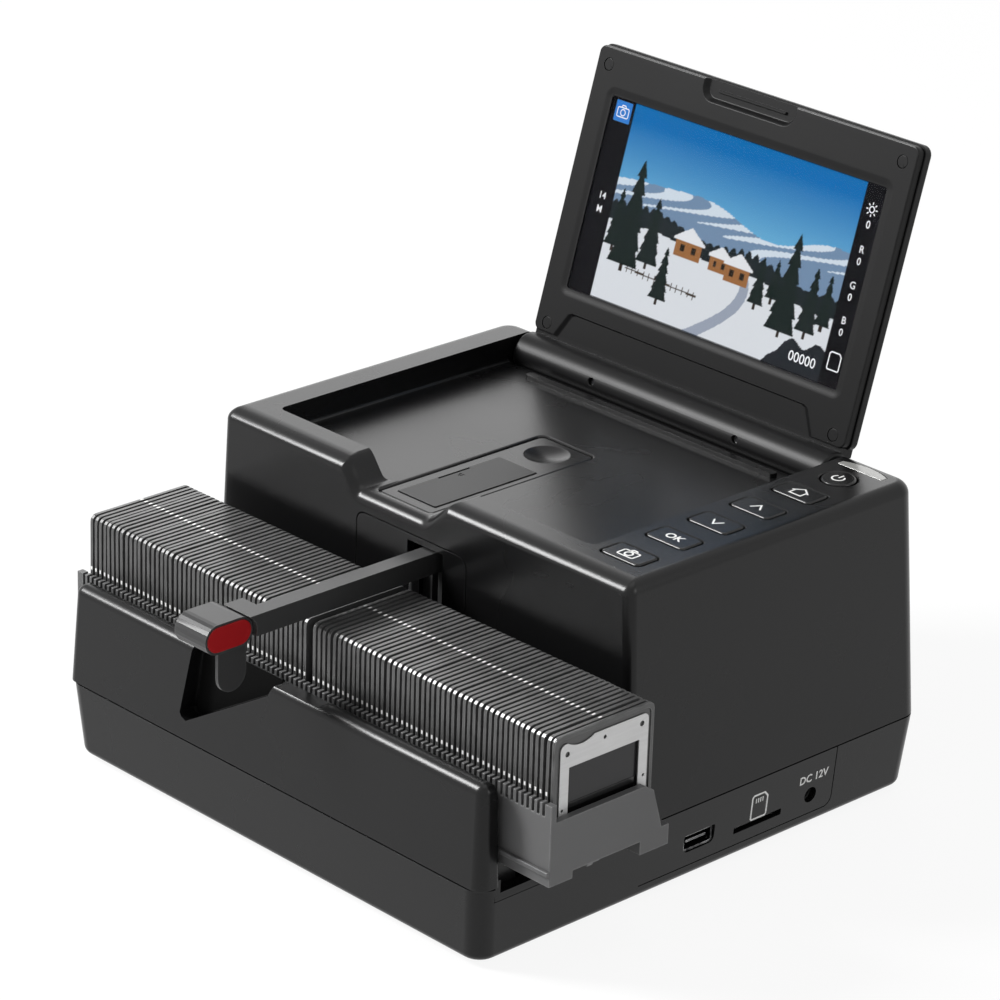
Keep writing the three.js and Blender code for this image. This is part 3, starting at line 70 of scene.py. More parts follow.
def add_node(tree, kind, inputs=None, **settings):
    """A new shader node with some properties set, and values or links for inputs given by name or number."""
    made = tree.nodes.new("ShaderNode" + kind)
    for name, value in settings.items():
        setattr(made, name, value)
    for name, value in (inputs or {}).items():
        if isinstance(value, bpy.types.NodeSocket):
            tree.links.new(value, made.inputs[name])
        else:
            made.inputs[name].default_value = value
    return made


def maths(tree, operation, *values, clamp=False):
    """The result of one Math node on numbers or sockets."""
    return add_node(tree, "Math", dict(enumerate(values)), operation=operation, use_clamp=clamp).outputs[0]


def shown_or_lit(owner, rays, share, shown, lit_by, output):
    """Mixes two shaders, given as (kind, inputs): the first is what rays of the named kinds meet, times a share."""
    owner.use_nodes = True
    tree = owner.node_tree
    tree.nodes.clear()
    path = add_node(tree, "LightPath").outputs
    seen = path[f"Is {rays[0]} Ray"]
    for ray in rays[1:]:
        seen = maths(tree, "MAXIMUM", seen, path[f"Is {ray} Ray"])
    shaders = [add_node(tree, *shader).outputs[0] for shader in (lit_by, shown)]
    mixed = add_node(tree, "MixShader", {0: maths(tree, "MULTIPLY", seen, share), 1: shaders[0], 2: shaders[1]})
    add_node(tree, output, {"Surface": mixed.outputs[0]})


floor_material = bpy.data.materials.new("pale floor")
shown_or_lit(
    floor_material, ("Camera", "Glossy"), 0.9, ("Emission", {"Color": white, "Strength": 1.0}),
    ("BsdfDiffuse", {"Color": (0.93, 0.93, 0.93, 1)}), "OutputMaterial",
)
floor_mesh.materials.append(floor_material)
world = bpy.data.worlds.new("surround")
bpy.context.scene.world = world
shown_or_lit(
    world, ("Camera", "Glossy", "Transmission"), 1.0, ("Background", {"Color": white, "Strength": 1.0}),
    ("Background", {"Color": white, "Strength": 0.35}), "OutputWorld",
)


def soft_box(name, place, aim, size, watts):
    """A rectangular area lamp at a place, turned so that it shines at a point."""
    data = bpy.data.lights.new(name, "AREA")
    data.shape, data.energy = "RECTANGLE", watts
    data.size, data.size_y = size
    lamp = new_object(name, data)
    lamp.location = place
    lamp.rotation_euler = (Vector(aim) - Vector(place)).to_track_quat("-Z", "Y").to_euler()


soft_box("key_lamp", (-1.18, -1.04, 1.27), (0.1, 0, 0.1), (0.4, 0.9), 58)
soft_box("rear_lamp", (-1.55, 1.4, 0.95), (0, 0, 0.1), (1.3, 1.3), 7)
soft_box("top_lamp", (0.1, 0.2, 2.0), (0, 0, 0.1), (1.2, 1.2), 4)
soft_box("right_lamp", (1.6, 0.5, 0.9), (0, 0, 0.1), (0.8, 0.8), 5)

# Casing: upper housing
# The tall drafted box with a sunk top for the screen, a low front wall and the tray channel between them,
# injection-moulded in black plastic with a fine satin grain and snapped onto the base shell.
seam_corner = (112.0, -117.349, 33.0)


def at(points):
    """Millimetres from the casing's front right corner at the seam, as metres in the part's frame."""
    return (np.asarray(points, float) + seam_corner) / 1000


def node_group(name, values, results):
    """An empty shader group with a Vector input, number inputs with their values, and number results."""
    group = bpy.data.node_groups.new(name, "ShaderNodeTree")
    group.interface.new_socket("Vector", in_out="INPUT", socket_type="NodeSocketVector")
    for label, value in values.items():
        group.interface.new_socket(label, in_out="INPUT", socket_type="NodeSocketFloat").default_value = value
    for label in results:
        group.interface.new_socket(label, in_out="OUTPUT", socket_type="NodeSocketFloat")
    return group, group.nodes.new("NodeGroupInput").outputs, group.nodes.new("NodeGroupOutput").inputs


def scaled(tree, value, times, plus=0.0):
    """A value times one number plus another."""
    return maths(tree, "MULTIPLY_ADD", value, times, plus)


def noise(tree, place, scale, detail=2.0, roughness=0.5, distortion=0.0):
    """The value of a noise texture at a place."""
    inputs = {"Vector": place, "Scale": scale, "Detail": detail, "Roughness": roughness, "Distortion": distortion}
    return add_node(tree, "TexNoise", inputs).outputs["Fac"]


def ramp(tree, value, low, high):
    """0 below one value and 1 beyond another, straight in between."""
    return add_node(tree, "MapRange", {"Value": value, "From Min": low, "From Max": high}).outputs[0]


# Spark-eroded grain of a mould: fine noise over coarser pits, as a height, with a slow change of shade.
grain_group, given, result = node_group("moulded grain", {"Size": 1.0, "Unevenness": 0.5}, ["Height", "Shade"])
fine_scale, pit_scale = (maths(grain_group, "DIVIDE", scale, given["Size"]) for scale in (2600.0, 1500.0))
fine = noise(grain_group, given["Vector"], fine_scale, 2.0, 0.6)
pits = add_node(grain_group, "TexVoronoi", {"Vector": given["Vector"], "Scale": pit_scale}, feature="SMOOTH_F1")
grain_group.links.new(maths(grain_group, "ADD", fine, pits.outputs["Distance"]), result["Height"])
slow = scaled(grain_group, noise(grain_group, given["Vector"], 22.0, 4.0, 0.55), 2.0, -1.0)
grain_group.links.new(maths(grain_group, "MULTIPLY", slow, given["Unevenness"]), result["Shade"])

# Edges rubbed paler and smoother by hands: where a rounded normal departs from the true one, broken up by noise.
wear_group, given, result = node_group("edge wear", {"Width": 0.001, "Amount": 0.5}, ["Mask"])
rounded = add_node(wear_group, "Bevel", {"Radius": given["Width"]}, samples=4).outputs[0]
true_normal = add_node(wear_group, "NewGeometry").outputs["Normal"]
agree = add_node(wear_group, "VectorMath", {0: rounded, 1: true_normal}, operation="DOT_PRODUCT").outputs["Value"]
patchy = ramp(wear_group, noise(wear_group, given["Vector"], 160.0, 3.0), 0.35, 0.65)
held = maths(wear_group, "MULTIPLY", scaled(wear_group, agree, -9.0, 9.0), patchy, clamp=True)
wear_group.links.new(maths(wear_group, "MULTIPLY", held, given["Amount"]), result["Mask"])

# Fingerprints and dust: wide soft patches that change how smooth the plastic is, and specks on what faces up.
handling_group, given, result = node_group("handling marks", {"Dust": 0.2}, ["Smear", "Specks"])
smear = noise(handling_group, given["Vector"], 9.0, 5.0, 0.5, 0.8)
handling_group.links.new(scaled(handling_group, smear, 2.0, -1.0), result["Smear"])
speck = add_node(handling_group, "TexVoronoi", {"Vector": given["Vector"], "Scale": 420.0}).outputs["Distance"]
chosen = ramp(handling_group, noise(handling_group, given["Vector"], 60.0), 0.55, 0.62)
facing = add_node(handling_group, "NewGeometry").outputs["Normal"]
up = add_node(handling_group, "SeparateXYZ", {0: facing}).outputs["Z"]
lying = maths(handling_group, "MULTIPLY", ramp(handling_group, speck, 0.06, 0.02), chosen)
upward = maths(handling_group, "MULTIPLY", lying, up, clamp=True)
handling_group.links.new(maths(handling_group, "MULTIPLY", upward, given["Dust"]), result["Specks"])


def new_material(name, plain=None):
    """A material with its tree, its shader's inputs and its Object coordinates, some plain values set."""
    material = bpy.data.materials.new(name)
    material.use_nodes = True
    tree = material.node_tree
    shader = tree.nodes["Principled BSDF"].inputs
    for label, value in (plain or {}).items():
        shader[label].default_value = value
    return material, tree, shader, add_node(tree, "TexCoord").outputs["Object"]


def tint(colour, times=1.0):
    """A colour for a socket: each part times a number, and opaque."""
    return (*(part * times for part in colour), 1)


def blended(tree, share, first, second):
    """The first colour turning into the second by a share."""
    return add_node(tree, "Mix", {0: share, 6: first, 7: second}, data_type="RGBA").outputs[2]


def moulded_plastic(name, colour, roughness, grain=1.0, depth=0.00002, wear=0.5, worn=None, dust=0.15, level=0.5):
    """A plastic whose grain, slow shade, handling marks and worn edges come from the shared groups."""
    material, tree, shader, place = new_material(name, {"Specular IOR Level": level})
    grained = add_node(tree, "Group", {"Size": grain, "Vector": place}, node_tree=grain_group).outputs
    rubbed = add_node(tree, "Group", {"Amount": wear, "Vector": place}, node_tree=wear_group).outputs["Mask"]
    marked = add_node(tree, "Group", {"Dust": dust, "Vector": place}, node_tree=handling_group).outputs
    worn = worn or tuple(min(1.0, part * 2.2 + 0.012) for part in colour)
    shaded = blended(tree, scaled(tree, grained["Shade"], 0.5, 0.5), tint(colour, 0.88), tint(colour, 1.12))
    dusty = blended(tree, marked["Specks"], blended(tree, rubbed, shaded, tint(worn)), (0.35, 0.34, 0.32, 1))
    tree.links.new(dusty, shader["Base Color"])
    rough = scaled(tree, marked["Smear"], 0.05, roughness)
    tree.links.new(maths(tree, "MULTIPLY_ADD", rubbed, -0.12, rough), shader["Roughness"])
    bump = add_node(tree, "Bump", {"Strength": 0.5, "Distance": depth, "Height": grained["Height"]})
    tree.links.new(bump.outputs[0], shader["Normal"])
    return material


casing_plastic = moulded_plastic("casing plastic", (0.0042, 0.0042, 0.0044), 0.27, level=0.26)


def grid_faces(rows, columns, wrap_rows=False, wrap_columns=False):
    """Quads between neighbouring rows and columns of a grid of points, as one array of indices."""
    spans = np.arange(rows - (not wrap_rows)), np.arange(columns - (not wrap_columns))
    row, column = np.meshgrid(*spans, indexing="ij")
    below, beside = (row + 1) % rows * columns, (column + 1) % columns
    corners = [row * columns + column, below + column, below + beside, row * columns + beside]
    return np.stack(corners, -1).reshape(-1, 4)


def mesh_object(name, points, faces):
    """A mesh object from an array of points in metres and lists of indices, with doubles merged and faces outward."""
    mesh = bpy.data.meshes.new(name)
    mesh.from_pydata(np.asarray(points, float).reshape(-1, 3).tolist(), [], [list(map(int, face)) for face in faces])
    shell = bmesh.new()
    shell.from_mesh(mesh)
    bmesh.ops.remove_doubles(shell, verts=shell.verts, dist=1e-6)
    bmesh.ops.recalc_face_normals(shell, faces=shell.faces)
    shell.to_mesh(mesh)
    shell.free()
    return new_object(name, mesh)


def many_tubes(name, stacks):
    """Closed solids of the same kind as one mesh, each through a stack of closed loops, the first and last of them
    capped: stacks is (solids, loops, points, 3)."""
    stacks = np.asarray(stacks, float)
    count, rows, columns = stacks.shape[:3]
    shell = grid_faces(rows, columns, wrap_columns=True)
    caps = np.stack([np.arange(columns), np.arange((rows - 1) * columns, rows * columns)])
    faces = []
    for start in np.arange(count) * rows * columns:
        faces += (shell + start).tolist() + (caps + start).tolist()
    return mesh_object(name, at(stacks), faces)


def tube(name, loops):
    """One closed solid through a stack of closed loops: loops is (count, points, 3)."""
    return many_tubes(name, [loops])


def rounded_outline(low, high, radii, steps=8):
    """A rectangle from low to high with its own radius on each corner, from the low corner counter-clockwise:
    every corner is a quarter circle about a centre one radius in from both sides."""
    (x0, y0), (x1, y1) = low, high
    turn = np.linspace(0, np.pi / 2, steps + 1)
    corners = [(x0, y0, 1, 1, np.pi), (x1, y0, -1, 1, 1.5 * np.pi), (x1, y1, -1, -1, 0), (x0, y1, 1, -1, 0.5 * np.pi)]
    arcs = []
    for (x, y, inward_x, inward_y, start), radius in zip(corners, radii):
        circle = radius * np.column_stack([np.cos(start + turn), np.sin(start + turn)])
        arcs.append(circle + (x + inward_x * radius, y + inward_y * radius))
    return np.concatenate(arcs)


def grown_outline(low, high, radii, out):
    """A rounded rectangle let out on all its sides, its corner radii growing with it."""
    corners = [max(radius + out, 0.1) for radius in radii]
    return rounded_outline((low[0] - out, low[1] - out), (high[0] + out, high[1] + out), corners)


def level(outline, height):
    """An outline in the plane, set at one height."""
    return np.column_stack([outline, np.full(len(outline), height)])


def quarter(steps):
    """A quarter turn as pairs of a rounded edge's way down and way in: 1 minus the sine and 1 minus the cosine."""
    turn = np.linspace(0, np.pi / 2, steps + 1)
    return np.column_stack([1 - np.sin(turn), 1 - np.cos(turn)])


def soft_step(share):
    """An S-shaped rise from 0 to 1: three times the square less twice the cube."""
    share = np.clip(share, 0, 1)
    return share * share * (3 - 2 * share)


def prism(name, outline, low, high, axis=2):
    """A straight solid: an outline carried along one axis, its two coordinates on the other two axes in order."""
    return tube(name, np.stack([np.insert(outline, axis, place, axis=1) for place in (low, high)]))


def box_prism(name, low, high, radius=0.01, axis=2):
    """A block between two corners whose edges along one axis are rounded."""
    others = [i for i in range(3) if i != axis]
    outline = rounded_outline([low[i] for i in others], [high[i] for i in others], [radius] * 4, 6)
    return prism(name, outline, low[axis], high[axis], axis)


def rod(name, axis, radius, low, high, centre, sides=48):
    """A round bar along an axis through a point on the two other axes: a circle carried from low to high."""
    turn = np.linspace(0, 2 * np.pi, sides, endpoint=False)
    outline = np.column_stack([centre[0] + radius * np.cos(turn), centre[1] + radius * np.sin(turn)])
    return prism(name, outline, low, high, axis)


def evaluated_mesh(source):
    """A plain mesh of an object as its modifiers or its curve leave it."""
    bpy.context.view_layer.update()
    return bpy.data.meshes.new_from_object(source.evaluated_get(bpy.context.evaluated_depsgraph_get()))


def carve(solid, cutters, operation="DIFFERENCE"):
    """Cuts or joins solids one after the other and keeps the result as a plain mesh. The cutters are used up."""
    for cutter in cutters:
        step = solid.modifiers.new("carve", "BOOLEAN")
        step.operation, step.object, step.solver = operation, cutter, "EXACT"
    result = evaluated_mesh(solid)
    solid.modifiers.clear()
    solid.data = result
    for cutter in cutters:
        bpy.data.objects.remove(cutter)
    return solid


def ease_edges(solid, width, angle, segments=2):
    """A small round of a width in millimetres on every edge that turns by more than an angle."""
    eased = solid.modifiers.new("eased edges", "BEVEL")
    eased.width, eased.segments, eased.limit_method = width / 1000, segments, "ANGLE"
    eased.angle_limit, eased.harden_normals = math.radians(angle), True
    return eased


def finished(piece, body, material, stands_for=(), edge=0.0, smooth=32):
    """Rounds a piece's sharp edges, smooths its shading, gives it its material and joins it to its body."""
    piece.data.polygons.foreach_set("use_smooth", np.ones(len(piece.data.polygons), bool))
    piece.data.set_sharp_from_angle(angle=math.radians(smooth))
    if edge:
        ease_edges(piece, edge, 40).miter_outer = "MITER_ARC"
    piece.modifiers.new("even shading", "WEIGHTED_NORMAL").keep_sharp = True
    piece.data.materials.clear()
    piece.data.materials.append(material)
    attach(piece, body)
    if stands_for:
        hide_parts(*stands_for)


casing_left, casing_depth, casing_top, casing_wall = -237.6, 237.0, 98.0, 2.5
block_front, front_round, round_lean = 75.5, 5.0, 3.2
upper_draft, seam_gap, above = 0.0545, 0.3, 110.0
recess_floor, recess_left, recess_right, recess_front = 87.5, -216.8, -40.2, 91.0
hinge_line = hinge_y, hinge_z = 225.5, 90.3


def shell_outline(z, inset, depths, draft, radii):
    """The casing's outline at a height: its sides lean in by the draft and an inset, its corners keep their radii."""
    lean = abs(z) * draft + inset
    low, high = (casing_left + lean, depths[0] + inset), (-lean, depths[1] - inset)
    most = 0.48 * (high[1] - low[1])
    return level(rounded_outline(low, high, [min(max(radius - inset, 0.2), most) for radius in radii]), z)


def drafted_shell(name, top, edge, depths_at, radii, wall=0.0):
    """A drafted box with a rounded top edge, or the hollow that leaves it a wall: straight up to the edge, then a
    quarter turn in eight levels."""
    bottom = -4 if wall else seam_gap
    loops = [shell_outline(bottom, wall, depths_at(bottom), upper_draft, radii)]
    for down, into in (edge - wall) * quarter(8):
        z = top - wall - down
        loops.append(shell_outline(z, wall + into, depths_at(z), upper_draft, radii))
    return tube(name, loops)


def block_depths(z):
    """Front and rear of the block at a height; the rounded top of the front leans back as a quarter of an ellipse."""
    rise = min(max((z - casing_top) / front_round + 1, 0.0), 1.0)
    return block_front + round_lean * (1 - math.sqrt(1 - rise ** 2)), casing_depth - z * upper_draft


def lip_height(x):
    """Height of the front rim along x: full height, an S-shaped shoulder down to the recess floor, and one up again."""
    raised = np.maximum(soft_step((-152.6 - x) / 11.6), soft_step((x + 117.5) / 17.5))
    return recess_floor + (casing_top - recess_floor + 0.06) * raised


def lip_cutter():
    """What is taken off the front rim: above a surface that follows the rim's height along x and, across it,
    the quarter round of the front edge."""
    x = np.linspace(-164.2, -100, 90)[:, None]
    y = np.concatenate([[70.0], block_front + front_round * quarter(9)[:, 1], [86.0, 95.0]])[None, :]
    drop = front_round - np.sqrt(front_round ** 2 - np.clip(block_front + front_round - y, 0, front_round) ** 2)
    surface = np.stack(np.broadcast_arrays(x, y, lip_height(x) - drop), -1)
    ends = np.stack(np.broadcast_arrays(x, np.array([[95.0, 70.0]]), above), -1)
    return tube("lip", np.concatenate([surface, ends], 1))


def recess_solid(name, grow):
    """The sunk space for the screen: a rounded plan, a small fillet along its floor, straight walls above."""
    loops, corners = [], [3.0 + grow, 3.0 + grow, 0.2, 0.2]
    for into, rise in 1.5 * quarter(4):
        inset = into - grow
        low, high = (recess_left + inset, recess_front + inset), (recess_right - inset, hinge_y + 2)
        plan = rounded_outline(low, high, corners)
        loops.append(level(plan, recess_floor - grow + rise))
    return tube(name, loops + [level(plan, above)])


key_x, key_sizes = -25.7, (9.75, 5.75, 1.8)
keys = {
    "capture": (95.8, *key_sizes), "ok": (119.2, *key_sizes), "down": (141.6, *key_sizes), "up": (164.4, *key_sizes),
    "home": (187.4, *key_sizes), "power": (209.4, 6.95, 6.95, 6.94),
}


def key_well(name, y, half_x, half_y, radius):
    """A well for a key: straight walls a small gap round the key, flaring out just under the surface."""
    low, high = (key_x - half_x, y - half_y), (key_x + half_x, y + half_y)
    stack = ((90 - casing_top, 0.6), (-0.6, 0.6), (-0.24, 0.75), (0.05, 1.2), (6, 1.2))
    return tube(name, [level(grown_outline(low, high, [radius] * 4, out), casing_top + up) for up, out in stack])


def lens_outline(grow):
    """The light lens from above: a straight front edge and a rear edge bowed as a parabola, its corners eased."""
    half = 11.5 + grow
    x = np.linspace(-half, half, 25)
    rear = 5 + grow + 0.85 - 2.6 * (x / half) ** 2
    front = [[-half + 0.5, -grow], [half - 0.5, -grow], [half, 0.5 - grow]]
    return np.concatenate([front, np.column_stack([x, rear])[::-1], [[-half, 0.5 - grow]]]) + (-25.5, 221.0)


hatch_low, hatch_high, hatch_top, hatch_axis = (-149.0, 82.6), (-119.0, 171.0), 86.9, (83.9, 85.9)
hatch_corners = (1.6, 1.6, 3.0, 3.0)
seat_levels = ((84.6, 0), (86.6, 0), (87.1, 0.25), (recess_floor + 0.02, 1.0), (92, 1.0))
door_outline = rounded_outline((-153.25, -2.5), (-90.75, 80.05), [0.3, 0.3, 4.7, 4.7])
block = drafted_shell("upper_housing_block", casing_top, front_round, block_depths, (4, 4, 8, 8))
hollow = drafted_shell("hollow", casing_top, front_round, block_depths, (4, 4, 8, 8), casing_wall)
carve(hollow, [
    recess_solid("kept", casing_wall),
    rod("kept", 0, 11.9, recess_left - casing_wall, recess_right + casing_wall, hinge_line),
    box_prism("kept", (recess_left - casing_wall, hinge_y, 79.5), (recess_right + casing_wall, 245, above)),
    box_prism("kept", (-165, 70, recess_floor - casing_wall), (-100, 93, above)),
    box_prism("kept", (-151.5, 80.1, 82), (-116.5, 173.5, 88)),
])
carve(block, [
    hollow,
    lip_cutter(),
    recess_solid("recess", 0),
    rod("trough", 0, 9.4, recess_left, recess_right, hinge_line, 64),
    box_prism("back", (recess_left, hinge_y, 82.0), (recess_right, 245, above)),
    prism("door_way", door_outline, 70, 84, 1),
    tube("hatch_seat", [level(grown_outline(hatch_low, hatch_high, hatch_corners, out), z) for z, out in seat_levels]),
    box_prism("hatch_way", (-147.4, 86.2, 70), (-120.6, 169.4, 88), 2.0),
    rod("pin_holes", 0, 0.9, hatch_low[0] - 1.8, hatch_high[0] + 1.8, hatch_axis, 16),
    *[key_well(f"well_{name}", *keys[name]) for name in ("power", "capture", "ok", "down", "up", "home")],
    prism("lens_way", lens_outline(0.15), 90, above),
])
carve(block, [box_prism("ledge", (-198.0, 208.0, recess_floor - 0.5), (-59.0, 211.6, 89.5), 1.2)], "UNION")
finished(block, "casing", casing_plastic, ["upper_housing"], edge=0.45)

# The low front wall, with the notch for the arm's tongue and a shallow dip beside it.
wall_sizes = 41.0, 4.0, lambda z: (z * upper_draft, 10.6), (5.3, 5.3, 2.5, 2.5)
front_wall = drafted_shell("upper_housing_front_wall", *wall_sizes)
wall_hollow = drafted_shell("hollow", *wall_sizes, casing_wall)
notch = np.array([
    [-169.0, 10.6], [-168.0, 9.0], [-165.3, 8.0], [-141.5, 21.9], [-119.2, 35.0], [-116.0, 41.0], [-116.0, 50.0],
    [-161.05, 50.0],
])
notch_wall = np.array([[-casing_wall, -casing_wall]] * 5 + [[casing_wall, 0]] * 2 + [[-casing_wall, 0]])
dip_x = np.linspace(-118, -80, 40)
dip = np.concatenate([np.column_stack([dip_x, 39.5 + 1.6 * soft_step((dip_x + 93.5) / 5.5)]), [[-80, 50], [-118, 50]]])
carve(wall_hollow, [prism("kept", notch + notch_wall, -4, 10.6, 1), prism("kept", dip - (0, casing_wall), -4, 20, 1)])
carve(front_wall, [wall_hollow, prism("notch", notch, -4, 8.1, 1), prism("dip", dip, -4, 20, 1)])
finished(front_wall, "casing", casing_plastic, edge=0.5)
# Painted shade: a near-black, barely reflecting sheet just in front of the wall's inner skin inside the notch stands in
# for the notch's dark depth; it is no part of the scanner.
notch_shade_plastic = moulded_plastic("painted notch shade", (0.0015, 0.0015, 0.0015), 0.7, grain=1.5, wear=0.0, dust=0.0, level=0.05)
notch_shade_outline = [[-167.4, 9.4], [-164.9, 8.5], [-141.5, 22.2], [-119.4, 35.2], [-117.4, 40.2], [-161.9, 40.2]]
finished(prism("notch_shade_sheet", notch_shade_outline, 7.75, 8.15, 1), "casing", notch_shade_plastic)

# The channel's floor between the wall and the block, with the two rails that the tray's feet slide on.
deck = box_prism("upper_housing_deck", (-237.1, 8.1, -5.6), (-0.5, 78.0, -2.5), 0.3)
carve(deck, [
    box_prism("rail", (-231.6, 13.4, -3.75), (-6.0, 23.2, 7.6), 0.3, 0),
    box_prism("rail", (-231.6, 59.3, -3.75), (-6.0, 72.0, 5.2), 0.3, 0),
    box_prism("web", (-237.1, 8.1, -5.6), (-0.5, 10.6, 2.8), 0.1, 0),
    box_prism("web", (-237.1, 75.5, -5.6), (-0.5, 78.0, 2.8), 0.1, 0),
], "UNION")
carve(deck, [box_prism("gear_way", (-129.5, 36.5, -9), (-94.5, 41.5, 3))])
finished(deck, "casing", casing_plastic, edge=0.3)

# Casing: base shell
# The shallow lower tray of the casing in the same black plastic, its sides leaning in towards the table,
# with a panel of sockets on the right, closed from below by screws under the feet.
base_draft = 0.085


def base_loops(bottom, top, edge, inset):
    """The base from its rounded lower edge up to the seam: a quarter turn in seven levels, then straight."""
    stack = [(bottom + up, inset + into) for up, into in edge * quarter(6)[::-1]] + [(top, inset)]
    return [
        shell_outline(z, into, (-z * base_draft, casing_depth + z * base_draft), base_draft, (8, 8, 8, 8))
        for z, into in stack
    ]


def on_side(y, z):
    """Places on the base's right side, which leans in downwards: across is towards the back, up is up, out is right."""
    return lambda points: np.column_stack([
        (points[:, 1] + z) * base_draft + points[:, 2], points[:, 0] + y, points[:, 1] + z,
    ])


def strokes(name, lines, width, place, thick=0.05):
    """Printed lines as thin raised ribbons: each line is offset to both sides by half the width along its own normal,
    lengthened at a bend by one over the cosine of half the turn. place takes (across, up, out) to the part."""
    points, faces, start = [], [], 0
    for line in lines:
        line = np.asarray(line, float)
        closed = len(line) > 2 and np.allclose(line[0], line[-1])
        core = line[:-1] if closed else line
        ahead, behind = np.roll(core, -1, 0) - core, core - np.roll(core, 1, 0)
        if not closed:
            ahead[-1], behind[0] = behind[-1], ahead[0]
        ahead, behind = (way / np.linalg.norm(way, axis=1, keepdims=True) for way in (ahead, behind))
        along = (ahead + behind) / np.linalg.norm(ahead + behind, axis=1, keepdims=True)
        reach = width / 2 / np.clip((along * ahead).sum(1), 0.4, 1)
        aside = np.column_stack([-along[:, 1], along[:, 0]]) * reach[:, None]
        ring = ((core + aside, -thick), (core + aside, thick), (core - aside, thick), (core - aside, -thick))
        points.append(np.stack([level(side, out) for side, out in ring], 1).reshape(-1, 3))
        count = len(core)
        faces.append(grid_faces(count, 4, wrap_rows=closed, wrap_columns=True) + start)
        if not closed:
            faces.append(np.array([np.arange(4), np.arange(count * 4 - 4, count * 4)]) + start)
        start += count * 4
    return mesh_object(name, at(place(np.concatenate(points))), np.concatenate(faces).tolist())


def round_line(centre, radius, start=0.0, end=360.0, steps=24):
    """Points on a circle from one angle to another, in degrees."""
    turn = np.radians(np.linspace(start, end, steps + 1))
    return np.column_stack([centre[0] + radius * np.cos(turn), centre[1] + radius * np.sin(turn)])


panel_bend = round_line((185.5, -21.8), 4.0, 0, -90, 8)[1:-1]
panel_line = [(189.5, 0.5), (189.5, -21.8), *panel_bend, (185.5, -25.8), (84.0, -25.8)]
video_way = grown_outline((107.0, -19.5), (123.0, -12.5), (2.3, 2.3, 0.5, 0.5), 0.3)
card_way = grown_outline((134.6, -20.4), (160.3, -18.3), (0.2, 0.2, 0.2, 0.2), 0.3)
base = tube("base_shell_body", base_loops(-31, -seam_gap, 3, 0))
carve(base, [
    tube("hollow", base_loops(-28.5, 4, 1.5, casing_wall)),
    box_prism("channel_way", (-245, 7.8, -5.9), (-231, 78.3, 4), 0.1, 0),
    box_prism("channel_way", (-6.5, 7.8, -5.9), (8, 78.3, 4), 0.1, 0),
    prism("video_way", video_way, -8, 4, 0),
    prism("card_way", card_way, -8, 4, 0),
    rod("inlet_way", 0, 3.3, -8, 4, (176.8, -17.5)),
    strokes("panel_groove", [panel_line], 0.5, on_side(0, 0), 0.3),
])
finished(base, "casing", casing_plastic, ["base_shell"], edge=0.35)

# Keys
# Five oblong keys and a round power key along the right edge, moulded in a smoother black. Each has a flange under
# the top plate, a stem down to its switch on the key board, and a sign printed in white on its cap.
key_plastic = moulded_plastic(
    "key plastic", (0.0055, 0.0055, 0.0057), 0.24, grain=0.7, depth=0.00001, wear=0.9, worn=(0.06, 0.06, 0.06),
    dust=0.0, level=0.3,
)
white_print = moulded_plastic(
    "white print", (0.78, 0.78, 0.77), 0.5, grain=0.6, depth=0.000008, wear=0.0, dust=0.1,
)
key_top, key_fillet, flange_top, stem_half = 98.4, 0.9, 95.2, 2.0


def key_cap(name, y, half_x, half_y, radius):
    """A key as a stack of rounded rectangles about its centre: stem, flange, straight sides, a quarter turn to the
    top. Each level is a height, two half sizes and a corner radius."""
    stem, wide = (stem_half, stem_half, stem_half - 0.01), (half_x + 1, half_y + 1, radius + 0.9)
    stack = [(91.0, *stem), (94.0, *stem), (94.0, *wide), (flange_top, *wide), (flange_top, half_x, half_y, radius)]
    stack += [(key_top - down, half_x - into, half_y - into, radius - into) for down, into in key_fillet * quarter(5)]
    return tube(name, [
        level(rounded_outline((key_x - x, y - deep), (key_x + x, y + deep), [corner] * 4), z)
        for z, x, deep, corner in stack
    ])


for name, sizes in keys.items():
    cap = key_cap(f"{name}_key_cap", *sizes)
    finished(cap, f"{name}_key", key_plastic, [f"key_{name}"], smooth=40)


def lettering(name, text, height, place, bold=0.0, thick=0.05):
    """Plain letters as a thin raised print, centred on their place and made a mesh before they are put there."""
    letters = bpy.data.curves.new(name, "FONT")
    letters.body, letters.size, letters.extrude, letters.offset = text, height * 1.38, thick, bold
    letters.align_x, letters.align_y, letters.resolution_u = "CENTER", "CENTER", 3
    holder = new_object(name, letters)
    flat = evaluated_mesh(holder)
    points = np.array([corner.co[:] for corner in flat.vertices])
    faces = [list(face.vertices) for face in flat.polygons]
    bpy.data.objects.remove(holder)
    return mesh_object(name, at(place(points)), faces)


def on_key(name):
    """Places on a key's cap, from its centre: across, towards the back, up."""
    return lambda points: points + (key_x, keys[name][0], key_top)


camera_body = rounded_outline((-3.9, -2.9), (3.9, 2.0), [0.8] * 4, 4)
camera_lines = [
    [*camera_body, camera_body[0]], [(-1.7, 2.0), (-1.0, 3.2), (1.0, 3.2), (1.7, 2.0)], round_line((0, -0.45), 1.6),
]
key_signs = {
    "capture": camera_lines,
    "down": [[(-2.5, 1.8), (0, -1.9), (2.5, 1.8)]],
    "up": [[(-2.5, -1.8), (0, 1.9), (2.5, -1.8)]],
    "home": [[(-4.0, 0.1), (0, 3.3), (4.0, 0.1)], [(-2.8, 0.9), (-2.8, -2.9), (2.8, -2.9), (2.8, 0.9)]],
    "power": [round_line((0, -0.3), 2.5, 130, 410), [(0, 0.0), (0, 3.0)]],
}
for name, lines in key_signs.items():
    finished(strokes(f"{name}_key_sign", lines, 0.68, on_key(name)), f"{name}_key", white_print)
finished(lettering("ok_key_sign", "OK", 4.1, on_key("ok"), 0.1), "ok_key", white_print)

